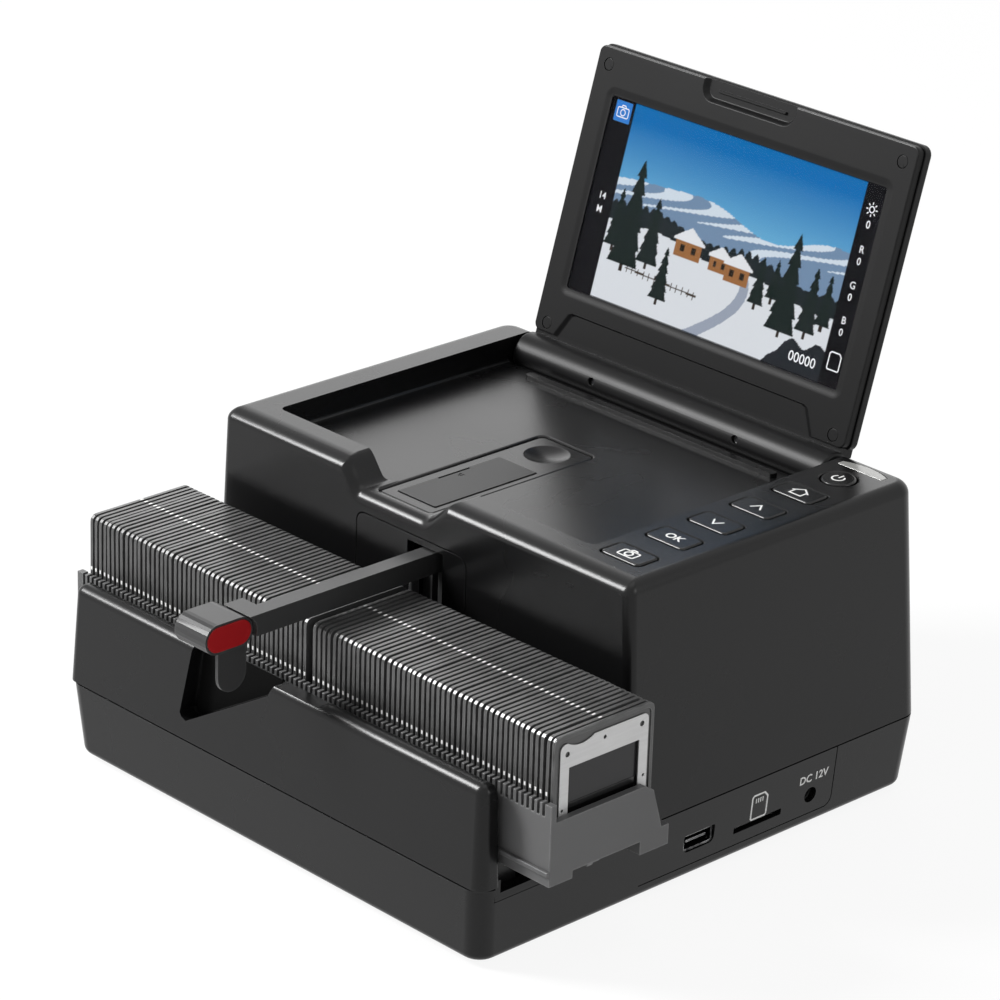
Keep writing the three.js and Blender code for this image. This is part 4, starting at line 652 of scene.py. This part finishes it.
# Light lens
# A frosted plastic bar behind the power key that spreads the power lamp's light, pressed into the top plate.
lens_plastic = moulded_plastic(
    "frosted lens", (0.25, 0.25, 0.24), 0.22, grain=1.5, depth=0.000006, wear=0.1, dust=0.05,
)
lens_levels = [(94.0, 0.0)] + [(98.1 - down, -into) for down, into in 0.4 * quarter(3)]
lens = tube("light_lens_bar", [level(lens_outline(grow), z) for z, grow in lens_levels])
finished(lens, "casing", lens_plastic, ["light_lens"])

# Hatch
# A thin plastic flap in the sunk floor, hung on two pins at its front edge, with a thumb dimple and a let-in plate.
hatch_gap = 0.3
flap_levels = [(84.9, 0.0)] + [(hatch_top - down, into) for down, into in 0.8 * quarter(5)]
flap = tube("hatch_flap", [
    level(grown_outline(hatch_low, hatch_high, hatch_corners, -hatch_gap - cut), z) for z, cut in flap_levels
])
dimple_place, dimple_radius, dimple_depth = (-134.0, 158.7), 9.2, 1.8


def dimple_cutter():
    """A shallow bowl: rings about the dimple's centre whose depth falls off with the square of their radius."""
    share = np.array([0.02, 0.2, 0.4, 0.6, 0.75, 0.88, 0.96, 1.0, 1.04, 1.04])
    drop = np.concatenate([dimple_depth * (1 - share[:7] ** 2), [0.04, -0.02, -2]])
    circle = round_line((0, 0), dimple_radius, steps=48)[:-1]
    return tube("dimple", [level(circle * part + dimple_place, hatch_top - deep) for part, deep in zip(share, drop)])


carve(flap, [
    rod("boss", 2, dimple_radius + 1, 84.1, 85.4, dimple_place),
    rod("pins", 0, 0.7, hatch_low[0] - 1.5, hatch_high[0] + 1.5, hatch_axis, 16),
], "UNION")
carve(flap, [dimple_cutter(), box_prism("insert_way", (-144.2, 88.0, 85.9), (-122.2, 142.6, 90.0), 1.0)])
finished(flap, "hatch", casing_plastic, ["hatch"], smooth=30)
insert_top = 87.25
insert = box_prism("hatch_insert_plate", (-143.7, 88.5, 86.0), (-122.7, 142.1, insert_top), 0.8)
arrow = [(-1.1, 1.0), (1.1, 1.0), (0, -0.9), (-1.1, 1.0)]
carve(insert, [
    box_prism("slot", (-143.2, 108.6, 86.5), (-142.3, 125.3, 88), 0.3),
    strokes("mark", [arrow], 0.6, lambda points: points + (-139.8, 117.6, insert_top), 0.3),
])
lid_plastic = moulded_plastic(
    "lid plastic", (0.005, 0.005, 0.0052), 0.36, grain=0.9, depth=0.000014, wear=0.45, level=0.16,
)
finished(insert, "hatch", lid_plastic, ["hatch_insert"], edge=0.15)

# Screen lid
# A flat plastic box hinged at the back: a front bezel with a dished window, a finger notch and a channel at its foot,
# four screw plugs, and a rear cover that closes it. Its own frame has x across, y towards its back and z up along it.
lid_turn = math.radians(16.1)
lid_left, lid_right, lid_bottom, lid_top = -216.3, -40.7, 9.3, 132.2
lid_low, lid_high = (lid_left, lid_bottom), (lid_right, lid_top)
bezel_front, bezel_rear, cover_front, cover_rear, bezel_inset = 0.67, 3.97, 4.27, 8.47, 0.8


def on_lid(points):
    """The lid's own places, turned back by the lid's lean about its hinge line."""
    x, y, z = np.moveaxis(np.asarray(points, float), -1, 0)
    back, rise = y * math.cos(lid_turn) + z * math.sin(lid_turn), z * math.cos(lid_turn) - y * math.sin(lid_turn)
    return np.stack([x, hinge_y + back, hinge_z + rise], -1)


def lid_stack(name, outline_at, levels):
    """A solid through the lid's thickness: an outline that depends on how far it grows, at each depth of a list."""
    return tube(name, on_lid(np.stack([np.insert(outline_at(grow), 1, y, axis=1) for y, grow in levels])))


def lid_plate(name, low, high, radius, levels):
    """A rounded rectangle through the lid's thickness, growing or shrinking with its corners."""
    return lid_stack(name, lambda grow: grown_outline(low, high, [radius] * 4, grow), levels)


def lid_disc(name, place, radius, levels, steps):
    """A disc through the lid's thickness."""
    return lid_stack(name, lambda grow: round_line(place, radius + grow, steps=steps)[:-1], levels)


def dish_levels(depth, width):
    """A soft S-shaped slope from the bezel's face down to a depth over a width, as pairs of depth and growth."""
    share = np.linspace(0, 1, 9)
    slope = np.column_stack([bezel_front - 0.004 + depth * soft_step(share), width * (1 - share)])
    return [(bezel_front - 1.0, width), *slope]


bezel_low, bezel_high = np.add(lid_low, bezel_inset), np.subtract(lid_high, bezel_inset)
bezel_levels = [(bezel_front, -0.7), (bezel_front + 0.2, -0.25), (bezel_front + 0.7, 0), (bezel_rear, 0)]
bezel = lid_plate("lid_bezel_face", bezel_low, bezel_high, 3.2, bezel_levels)
window_low, window_high = (-203.0, 31.0), (-52.6, 112.7)
channel_middle = np.array([-131.0, 0.0])
channel_half = np.array([[71, 0], [71, 9], [65, 20], [63, 20.8]])
channel = np.concatenate([channel_half * (-1, 1), channel_half[::-1]])
plugs = {
    f"{row}_{side}": (x, z)
    for row, z in (("top", lid_top - 8), ("bottom", lid_bottom + 5))
    for side, x in (("left", lid_left + 7.6), ("right", lid_right - 7.6))
}
display_low, display_high = np.subtract(window_low, 3.8), np.add(window_high, 3.8)
carve(bezel, [
    lid_plate("window", window_low, window_high, 1.2, dish_levels(0.42, 3.8) + [(6.0, 0.0)]),
    lid_plate("display_room", display_low, display_high, 0.1, [(1.97, 0), (6.0, 0)]),
    lid_plate("finger_notch", (-154.4, lid_top - 7.7), (-107.6, lid_top + 8), 4.0, dish_levels(2.3, 2.2)),
    lid_stack("foot_channel", lambda grow: channel_middle + channel * (1 + grow / 62), dish_levels(0.85, 2.4)),
    *[lid_disc("plug_well", place, 2.75, [(bezel_front - 1, 0), (1.66, 0)], 32) for place in plugs.values()],
])
carve(bezel, [lid_plate("ridge", (-149.0, 126.9), (-112.0, 128.2), 0.6, [(3.4, 0), (2.3, 0), (1.9, -0.3)])], "UNION")
finished(bezel, "lid", lid_plastic, ["lid_bezel"], smooth=28)

cover_edge = [(cover_rear - down, -into) for down, into in 1.4 * quarter(6)]
cover, cover_hollow, seam_strip, strip_hollow = (
    lid_plate(name, lid_low, lid_high, 4.0, levels)
    for name, levels in (
        ("lid_cover_shell", [(cover_front, -0.25), (cover_front + 0.25, 0), *cover_edge]),
        ("hollow", [(3.0, -2.2), (cover_rear - 1.8, -2.2)]),
        ("seam_strip", [(bezel_rear + 0.01, -1.3), (cover_front + 0.4, -1.3)]),
        ("hollow", [(3.0, -2.2), (6.0, -2.2)]),
    )
)
carve(cover, [cover_hollow])
carve(cover, [carve(seam_strip, [strip_hollow])], "UNION")
finished(cover, "lid", lid_plastic, ["lid_cover"], smooth=30)

# Hinge barrel
# The round knuckle moulded along the lid's foot. It turns on two steel pins and is held by two dark screws.
barrel_radius, barrel_left, barrel_right, pin_depth = 8.8, -215.0, -42.0, 15
barrel_circle = round_line((0, 0), 1.0, steps=64)[:-1]
barrel_edge = 1.5 * quarter(4)
barrel_stack = [(barrel_left + along, barrel_radius - into) for along, into in barrel_edge[::-1]]
barrel_stack += [(barrel_right - along, barrel_radius - into) for along, into in barrel_edge]
barrel = tube("hinge_barrel_knuckle", on_lid([
    np.column_stack([np.full(64, x), barrel_circle * radius]) for x, radius in barrel_stack
]))
carve(barrel, [
    lid_plate("neck", (barrel_left + 15, 0.0), (barrel_right - 15, 10.5), 0.4, [(1.57, 0), (8.17, 0)]),
    lid_plate("foot_strip", (barrel_left + 0.6, 6.5), (barrel_right - 0.6, 10.6), 0.3, [(1.6, 0), (8.1, 0)]),
], "UNION")
screw_levels = [(-12, 0.5), (-8.9, 0.45), (-8.45, 0), (-4.4, 0)]
carve(barrel, [
    *[lid_disc("screw_way", (x, 0.0), 1.6, screw_levels, 24) for x in (-168.9, -88.1)],
    rod("pin_way", 0, 2.6, barrel_left - 1, barrel_left + pin_depth, hinge_line, 24),
    rod("pin_way", 0, 2.6, barrel_right - pin_depth, barrel_right + 1, hinge_line, 24),
])
finished(barrel, "lid", lid_plastic, ["hinge_barrel"], smooth=30)

# Screen
# A liquid crystal panel behind a clear window: a landscape of the maker's own in snow, between two black bars with
# the settings in plain signs. The picture is lit from behind, so it is an emission with one colour at each point.
panel_low, panel_high, panel_front, panel_rear = (-206.5, 27.5), (-49.1, 116.2), 2.07, 5.27
picture_low, picture_high, bar_black = (-190.2, 31.6), (-63.4, 112.2), (0.002, 0.002, 0.0025)
# The huts as place, foot, half width and wall height, the firs as place, foot, height and half width.
huts = ((0.36, 0.34, 0.055, 0.085), (0.5, 0.33, 0.04, 0.07), (0.58, 0.31, 0.05, 0.08))
firs = (
    (0.1, 0.2, 0.55, 0.07), (0.2, 0.25, 0.34, 0.05), (0.28, 0.1, 0.27, 0.04), (0.8, 0.16, 0.5, 0.065),
    (0.9, 0.2, 0.33, 0.045), (0.68, 0.25, 0.24, 0.035), (0.74, 0.3, 0.2, 0.03), (0.04, 0.28, 0.3, 0.04),
    (0.96, 0.26, 0.26, 0.035),
)


def ridge_line(across, height, swing, pieces, seed):
    """A skyline: a level plus a few sines of growing pitch and shrinking swing, their phases from a seeded draw."""
    phases = np.random.default_rng(seed).uniform(0, 2 * np.pi, pieces)
    waves = [swing / (i + 1) * np.sin((2.3 + 3.1 * i) * across + phase) for i, phase in enumerate(phases)]
    return height + np.sum(waves, axis=0)


def landscape(across, up):
    """Colours of the picture at shares across and up: a sky that pales downwards, two snowy ranges, a far wood,
    a snow field with a path, huts, a fence and a dark bank, and firs as stacked triangles."""
    fade = np.clip((up - 0.42) / 0.5, 0, 1)[..., None] ** 0.8
    colour = np.array([0.2, 0.53, 0.74]) * (1 - fade) + np.array([0.001, 0.14, 0.42]) * fade
    far, near = ridge_line(across, 0.58, 0.06, 5, 3), ridge_line(across, 0.45, 0.04, 6, 8)
    snowy = 0.5 + 0.5 * np.sin(31 * across + 9 * np.sin(17 * up) + 23 * up) + (up - far) * 6 > 0.25
    colour[up < far] = (0.16, 0.25, 0.38)
    colour[(up < far) & snowy] = (0.6, 0.68, 0.76)
    wood = near + 0.035 * np.abs(np.sin(95 * across)) * (0.6 + 0.4 * np.sin(13 * across))
    colour[up < wood] = (0.012, 0.018, 0.02)
    colour[up < near - 0.08] = (0.66, 0.69, 0.73)
    path = 0.46 + 0.16 * np.sin(5.5 * up) + 0.05 * (up - 0.2)
    colour[(np.abs(across - path) < 0.012 + 0.05 * (0.42 - up)) & (up < 0.36)] = (0.3, 0.34, 0.42)
    for x, foot, wide, tall in huts:
        beside, rise = np.abs(across - x), up - foot
        colour[(beside < wide) & (rise > 0) & (rise < tall)] = (0.3, 0.13, 0.045)
        colour[(beside < wide * 1.25) & (rise >= tall) & (rise < tall * 1.9 - beside)] = (0.72, 0.74, 0.77)
        window = (np.abs(beside - wide * 0.45) < wide * 0.17) & (rise > tall * 0.35) & (rise < tall * 0.75)
        colour[window] = (0.02, 0.015, 0.01)
    off_rail = np.abs(up - 0.2 + 0.05 * across)
    fence = (off_rail < 0.004) | ((off_rail < 0.02) & ((across * 40) % 1 < 0.16))
    colour[fence & (across > 0.12) & (across < 0.44)] = (0.05, 0.035, 0.025)
    bank = (0.14 + 0.02 * np.sin(60 * across) + 0.15 * (across - 0.9)) * np.clip((across - 0.76) * 14, 0, 1)
    colour[(across > 0.76) & (up < bank)] = (0.015, 0.018, 0.022)
    for x, foot, tall, wide in firs:
        beside, rise = np.abs(across - x), (up - foot) / tall
        tooth = 1 - rise + 0.22 * (1 - (rise * 6) % 1)
        colour[(beside < wide * tooth * 0.8) & (rise > 0) & (rise < 1)] = (0.008, 0.015, 0.013)
        colour[(beside < 0.006) & (up > foot - 0.03) & (rise <= 0)] = (0.03, 0.02, 0.015)
    return colour


def display_slab(name, rows=190, columns=330):
    """The panel as a closed slab: a grid of points on its front, then its rim carried back to one rear face."""
    spans = np.linspace(panel_low[0], panel_high[0], columns), np.linspace(panel_low[1], panel_high[1], rows)
    grid_x, grid_z = np.meshgrid(*spans)
    front = np.stack([grid_x, np.full_like(grid_x, panel_front), grid_z], -1).reshape(-1, 3)
    index = np.arange(rows * columns).reshape(rows, columns)
    rim = np.concatenate([index[0, :-1], index[:-1, -1], index[-1, :0:-1], index[:0:-1, 0]])
    rear = front[rim] + (0, panel_rear - panel_front, 0)
    behind = np.arange(len(rim)) + rows * columns
    sides = np.stack([rim, np.roll(rim, -1), np.roll(behind, -1), behind], -1)
    faces = grid_faces(rows, columns).tolist() + sides.tolist() + [behind.tolist()]
    slab = mesh_object(name, at(on_lid(np.concatenate([front, rear]))), faces)
    across = (grid_x - picture_low[0]) / (picture_high[0] - picture_low[0])
    up = (grid_z - picture_low[1]) / (picture_high[1] - picture_low[1])
    shown = (across > 0) & (across < 1) & (up > 0) & (up < 1)
    colours = np.full((len(slab.data.vertices), 4), (*bar_black, 1))
    colours[:rows * columns, :3] = np.where(shown[..., None], landscape(across, up), bar_black).reshape(-1, 3)
    slab.data.color_attributes.new("picture", "FLOAT_COLOR", "POINT").data.foreach_set("color", colours.ravel())
    return slab


def lit(name, colour=None):
    """A surface that shines by itself: in one colour, or in the colours painted on its points."""
    material, tree, shader, place = new_material(name, {
        "Base Color": (0.003, 0.003, 0.004, 1), "Roughness": 0.3, "Specular IOR Level": 0.02, "Emission Strength": 1.0,
    })
    if colour:
        shown = blended(tree, noise(tree, place, 400.0), tint(colour, 0.94), tint(colour))
    else:
        shown = add_node(tree, "Attribute", attribute_name="picture").outputs["Color"]
    tree.links.new(shown, shader["Emission Color"])
    return material


finished(display_slab("display_picture"), "lid", lit("lit picture"), ["display_panel"])
sign_light, blue_light = lit("lit signs", (0.85, 0.86, 0.88)), lit("lit badge", (0.03, 0.2, 0.62))


def on_screen(x, z):
    """Places on the picture, from a point of the lid: across, up, towards the viewer."""
    return lambda points: on_lid(np.column_stack([
        points[:, 0] + x, panel_front - 0.02 - points[:, 2], points[:, 1] + z,
    ]))


left_bar, right_bar = -196.4, -58.0
screen_texts = (
    ("14", 3.0, left_bar, 72.0), ("M", 3.0, left_bar, 66.3), ("0", 3.2, right_bar, 96.4), ("R", 3.0, right_bar, 86.4),
    ("0", 3.0, right_bar, 81.6), ("G", 3.0, right_bar, 72.0), ("0", 3.0, right_bar, 67.2), ("B", 3.0, right_bar, 57.8),
    ("0", 3.0, right_bar, 53.0), ("00000", 4.2, -73.6, 37.4),
)
sun_rays = [np.outer((1.9, 2.9), (math.cos(turn), math.sin(turn))) for turn in np.arange(8) * np.pi / 4]
card_outline = [
    (-2.6, -3.4), (2.6, -3.4), (3.0, -3.0), (3.0, 2.4), (1.9, 3.6), (-2.2, 3.6), (-3.0, 2.8), (-3.0, -3.0),
    (-2.6, -3.4),
]
for sign in [
    lettering(f"screen_sign_{round(-x)}_{round(z)}", text, size, on_screen(x, z), 0.05, 0.01)
    for text, size, x, z in screen_texts
] + [
    strokes("screen_sign_sun", [round_line((0, 0), 1.2), *sun_rays], 0.5, on_screen(right_bar, 102.6), 0.01),
    strokes("screen_sign_card", [card_outline], 0.55, on_screen(right_bar + 0.4, 41.2), 0.01),
]:
    finished(sign, "lid", sign_light)
badge_levels = [(panel_front - 0.03, 0), (panel_front + 0.02, 0)]
badge = lid_plate("screen_badge", (-200.6, 103.0), (-191.6, 111.6), 0.4, badge_levels)
finished(badge, "lid", blue_light)
badge_lines = [np.asarray(line) * 0.8 for line in camera_lines]
badge_sign = strokes("screen_badge_sign", badge_lines, 0.45, on_screen(-196.1, 107.3), 0.02)
finished(badge_sign, "lid", sign_light)


# Screen glass and plugs
# A clear sheet with a coating against reflections, let into the bezel, and four plugs pressed over the lid's screws.
def dressed(names, material, edge=0.0, segments=2):
    """Gives carried-over solids their finish; their flats are welded and their sharp edges eased."""
    for name in names:
        solid = nodes[name]
        if edge:
            solid.modifiers.new("weld", "WELD").merge_threshold = 1e-6
            ease_edges(solid, edge, 35, segments)
        solid.data.materials.clear()
        solid.data.materials.append(material)


glass, tree, shader, place = new_material(
    "clear window", {"Base Color": white, "Transmission Weight": 1.0, "IOR": 1.08},
)
smears = add_node(tree, "Group", {"Vector": place}, node_tree=handling_group)
tree.links.new(scaled(tree, smears.outputs["Smear"], 0.008, 0.012), shader["Roughness"])
dressed(["screen_glass"], glass)
dressed([f"screw_plug_{corner}" for corner in plugs], lid_plastic, 0.35)

# Slides
# Ninety-five slides in two-part plastic mounts, stood on edge in the tray's slits. The thin rim of each mount is a
# little narrower than its middle, and a white dot on its top and front edges shows which way it faces.
slide_plane, slide_pitch, slide_thick, slide_side, slide_foot, slide_front = -112.0, 2.71, 2.0, 50.0, 14.1, 16.1
top_dot_y, front_dot_z = 41.4, 41.6
mount_plastic = moulded_plastic(
    "mount plastic", (0.048, 0.048, 0.048), 0.3, grain=1.2, depth=0.00001, wear=0.6, worn=(0.17, 0.17, 0.17), dust=0.1,
)
mount_low = np.array([slide_front, slide_foot])
mount_outline = rounded_outline(mount_low, mount_low + slide_side, [2.6] * 4, 3)
mount_middle = mount_low + slide_side / 2


def mount_loops(profile):
    """The mount's outline at each place through its thickness, shrunk towards its middle by an inset."""
    return np.array([
        np.insert(mount_middle + (mount_outline - mount_middle) * (1 - inset / (slide_side / 2)), 0, out, axis=1)
        for out, inset in profile
    ])


def mount_stack(places, seed):
    """Mounts at places along the tray. They lean in small bunches, each bunch to its own side from a seeded draw, by
    a third of a millimetre or so at their tops."""
    draw = np.random.default_rng(seed)
    count, half = len(places), slide_thick / 2
    half_profile = [(half, 2.2), (half - 0.15, 1.2), (half - 0.3, 0.0)]
    loops = mount_loops([(-out, inset) for out, inset in half_profile] + half_profile[::-1])
    stacks = np.repeat(loops[None], count, 0)
    bunch = np.repeat(draw.uniform(-0.36, 0.36, count), draw.integers(1, 6, count))[:count]
    lean, lift = bunch + draw.normal(0, 0.05, count), draw.uniform(-0.12, 0.0, count)
    share = (stacks[..., 2] - slide_foot) / slide_side
    stacks[..., 0] += np.asarray(places)[:, None, None] + share * np.clip(lean, -0.35, 0.35)[:, None, None]
    stacks[..., 2] += lift[:, None, None] * share
    return stacks


def small_blocks(x, y, z, half):
    """Small upright blocks about centres, half as wide, deep and high as given."""
    corner = np.array([[-1, -1], [1, -1], [1, 1], [-1, 1]]) * half[:2]
    block = np.stack([level(corner, -half[2]), level(corner, half[2])])
    return np.stack(np.broadcast_arrays(x, y, z), -1)[:, None, None, :] + block[None]


for side, first, last in (("left", -48, -1), ("right", 1, 47)):
    places = slide_plane + slide_pitch * np.arange(first, last + 1)
    stack = mount_stack(places, 11 + last)
    spine_half = (abs(places[-1] - places[0]) / 2, 12.0, 1.4)
    spine = small_blocks([places.mean()], mount_middle[0], slide_foot + 1.5, spine_half)
    mounts = many_tubes(f"slides_{side}_mounts", stack)
    carve(mounts, [many_tubes("spine", spine)], "UNION")
    finished(mounts, "tray", mount_plastic, [f"slides_{side}"], smooth=25)
    tops = stack[..., 2].max((1, 2))
    crown = np.array([mount[..., 0][mount[..., 2] > mount[..., 2].max() - 0.05].mean() for mount in stack])
    face = (crown - places) * (front_dot_z - slide_foot) / slide_side + places
    dots = np.concatenate([
        small_blocks(crown, top_dot_y, tops, (0.42, 0.8, 0.04)),
        small_blocks(face, slide_front, front_dot_z, (0.42, 0.04, 0.75)),
    ])
    finished(many_tubes(f"slides_{side}_dots", dots), "tray", white_print)


# End slide
# The last slide on the right shows how a mount is made: a plastic frame, a stamped metal mask with a thumb dip and
# five holes, and the dark film behind it.
def drawn_noise(tree, place, stretch, detail):
    """Noise drawn out into fine lines: its place is scaled by another number along each axis."""
    mapped = add_node(tree, "Mapping", {"Vector": place, "Scale": stretch})
    return noise(tree, mapped.outputs[0], 1.0, detail)


mask_metal, tree, shader, place = new_material("brushed mask", {"Metallic": 0.55})
lines = drawn_noise(tree, place, (900.0, 60.0, 900.0), 3.0)
tree.links.new(blended(tree, lines, (0.45, 0.45, 0.45, 1), (0.57, 0.57, 0.57, 1)), shader["Base Color"])
tree.links.new(scaled(tree, lines, 0.14, 0.36), shader["Roughness"])
end_left = slide_plane + 48 * slide_pitch - slide_thick / 2
frame_profile = [(0.0, 1.4), (0.25, 0.25), (0.5, 0.0), (1.2, 0.0), (1.4, 0.35)]
end_frame = tube("end_slide_frame", mount_loops(frame_profile) + (end_left, 0, 0))
carve(end_frame, [box_prism("film_way", (end_left - 2, 23.1, 27.1), (end_left + 3, 59.1, 51.1), 0.4, 0)])
finished(end_frame, "tray", mount_plastic, ["end_slide_mount"], smooth=25)
raised_rim = prism("end_slide_rim", mount_outline, end_left + 1.35, end_left + 1.85, 0)
inner_rim = mount_middle + (mount_outline - mount_middle) * 0.935
carve(raised_rim, [prism("inside", inner_rim, end_left, end_left + 4, 0)])
finished(raised_rim, "tray", mount_plastic, edge=0.15)
mask_low, mask_high, mask_from, mask_to = (19.05, 17.6), (63.15, 60.6), end_left + 1.58, end_left + 1.98
dip = np.linspace(1, 0, 13)
dip_line = np.column_stack([mask_low[0] + 3.6 + 13.2 * dip, mask_high[1] - 1.9 * np.abs(np.sin(np.pi * dip)) ** 0.8])
mask_corners = rounded_outline(mask_low, mask_high, [0.6, 0.6, 2.4, 2.4], 4)
mask_outline = np.concatenate([mask_corners[:15], dip_line, mask_corners[15:]])
mask_holes = ((22.5, 56.4, 1.1), (59.8, 57.0, 1.1), (41.1, 57.6, 0.8), (20.7, 34.6, 0.6), (61.4, 36.0, 0.6))
mask = prism("end_slide_plate", mask_outline, mask_from, mask_to, 0)
carve(mask, [
    box_prism("window", (mask_from - 1, 23.5, 27.5), (mask_to + 1, 58.7, 50.9), 0.2, 0),
    *[rod("hole", 0, radius, mask_from - 1, mask_to + 1, (y, z), 20) for y, z, radius in mask_holes],
])
finished(mask, "tray", mask_metal, ["end_slide_mask"], edge=0.06)
film_sheet = moulded_plastic(
    "exposed film", (0.018, 0.018, 0.019), 0.16, grain=2.0, depth=0.000004, wear=0.0, dust=0.2, level=0.25,
)
dressed(["end_slide_film"], film_sheet)
dark_band = box_prism("end_slide_film_band", (end_left + 0.75, 23.4, 27.4), (end_left + 0.95, 58.8, 36.2), 0.2, 0)
finished(dark_band, "tray", moulded_plastic("unexposed film", (0.003, 0.003, 0.003), 0.2, wear=0.0))

# Tray
# The long grey magazine: a comb in front that parts the slides, end walls, a rack under its floor and two feet that
# slide on the channel's rails. One moulding in grey plastic.
tray_plastic = moulded_plastic(
    "tray plastic", (0.082, 0.082, 0.083), 0.4, grain=1.2, wear=0.7, worn=(0.19, 0.19, 0.19), dust=0.2, level=0.35,
)
dressed(["tray_body"], tray_plastic, 0.22)
lip_half = 134.1
tray_lip = box_prism(
    "tray_front_lip", (slide_plane - lip_half, 11.1, 12.3), (slide_plane + lip_half, 12.6, 14.1), 0.4, 0,
)
finished(tray_lip, "tray", tray_plastic, smooth=40)

# Transport arm
# The black bar that pushes a slide from the tray into the gate: root block, grip head with its red cap, and tongue.
inner_plastic = moulded_plastic("inner plastic", (0.028, 0.028, 0.0284), 0.35, depth=0.000015, level=0.33)
dressed(["arm_bar", "grip_head"], inner_plastic, 0.4, 3)
red_plastic = moulded_plastic(
    "red cap plastic", (0.26, 0.006, 0.008), 0.42, wear=0.4, worn=(0.3, 0.03, 0.03), dust=0.05, level=0.15,
)
dressed(["grip_cap"], red_plastic, 0.3)

# Gate, lamp and camera
# Behind the door: the guide that the slide runs in, the white lamp box and its diffuser, the lens and its board.
dressed(["gate_door"], casing_plastic, 0.35)
dressed(["gate_frame", "lens_barrel"], inner_plastic, 0.25)
white_plastic = moulded_plastic("white plastic", (0.72, 0.72, 0.7), 0.45, grain=1.2, wear=0.1)
dressed(["lamp_box", "diffuser"], white_plastic, 0.2)
dark_glass = moulded_plastic(
    "lens glass", (0.006, 0.006, 0.009), 0.05, grain=3.0, depth=0.000002, wear=0.0, dust=0.05,
)
dressed(["lens_glass"], dark_glass)


# Drives, hinge and boards
# Two small motors with white gears move the tray and the arm; steel pins and brackets carry the lid; the boards are
# green laminate with a faint pattern of tracks.
def worked_steel(name, colour, roughness):
    """Turned or drawn steel: fine lines along one way change its shade and how smooth it is, edges are bright."""
    material, tree, shader, place = new_material(name, {"Metallic": 1.0})
    fine = drawn_noise(tree, place, (80.0, 1200.0, 1200.0), 2.0)
    rubbed = add_node(tree, "Group", {"Vector": place}, node_tree=wear_group).outputs["Mask"]
    shaded = blended(tree, fine, tint(colour, 0.8), tint(colour))
    tree.links.new(blended(tree, rubbed, shaded, (0.85, 0.85, 0.85, 1)), shader["Base Color"])
    tree.links.new(scaled(tree, fine, 0.15, roughness - 0.07), shader["Roughness"])
    return material


steel = worked_steel("bright steel", (0.6, 0.61, 0.62), 0.32)
blackened = worked_steel("blackened steel", (0.03, 0.03, 0.032), 0.4)
dressed(["arm_gear", "tray_gear"], moulded_plastic("gear plastic", (0.62, 0.6, 0.53), 0.42, wear=0.1))
dressed(["arm_motor", "tray_motor"], steel)
dressed([f"hinge_{kind}_{side}" for kind in ("pin", "bracket") for side in ("left", "right")], steel)
dressed(["barrel_screw_left", "barrel_screw_right"], blackened, 0.15)
laminate, tree, shader, place = new_material("board laminate")
tracks = add_node(tree, "TexBrick", {
    "Vector": place, "Scale": 260.0, "Mortar Size": 0.06, "Color1": (0.006, 0.06, 0.02, 1),
    "Color2": (0.008, 0.072, 0.026, 1), "Mortar": (0.02, 0.12, 0.05, 1),
}).outputs
tree.links.new(tracks["Color"], shader["Base Color"])
tree.links.new(scaled(tree, tracks["Fac"], 0.15, 0.35), shader["Roughness"])
dressed(["main_board", "key_board", "sensor_board", "lamp_board"], laminate)

# Sockets and their signs
# Three sockets on the main board stand in openings of the right side: video, memory card and power. Generic white
# signs are printed over the card slot and the power socket.
dressed(["video_socket", "card_socket"], blackened, 0.1)
dressed(["power_inlet"], inner_plastic, 0.15)
side_card = [
    (-3.6, -5.2), (3.6, -5.2), (4.2, -4.6), (4.2, 3.2), (2.4, 5.2), (-3.4, 5.2), (-4.2, 4.4), (-4.2, -4.6),
    (-3.6, -5.2),
]
contacts = [[(x, 1.6), (x, 3.6)] for x in (-2.0, -0.8, 0.4, 1.6)]
for sign in (
    strokes("card_sign", [side_card], 0.75, on_side(147.4, -12.4)),
    strokes("card_sign_contacts", contacts, 0.5, on_side(147.4, -12.4)),
    lettering("power_sign", "DC 12V", 3.5, on_side(177.6, -9.8), 0.09),
):
    finished(sign, "casing", white_print)

# Feet
# Four rubber discs pressed into the base.
rubber = moulded_plastic(
    "soft rubber", (0.011, 0.011, 0.011), 0.62, grain=1.6, depth=0.00003, wear=0.25, dust=0.35,
)
dressed([f"foot_{end}_{side}" for end in ("front", "rear") for side in ("left", "right")], rubber, 0.5)
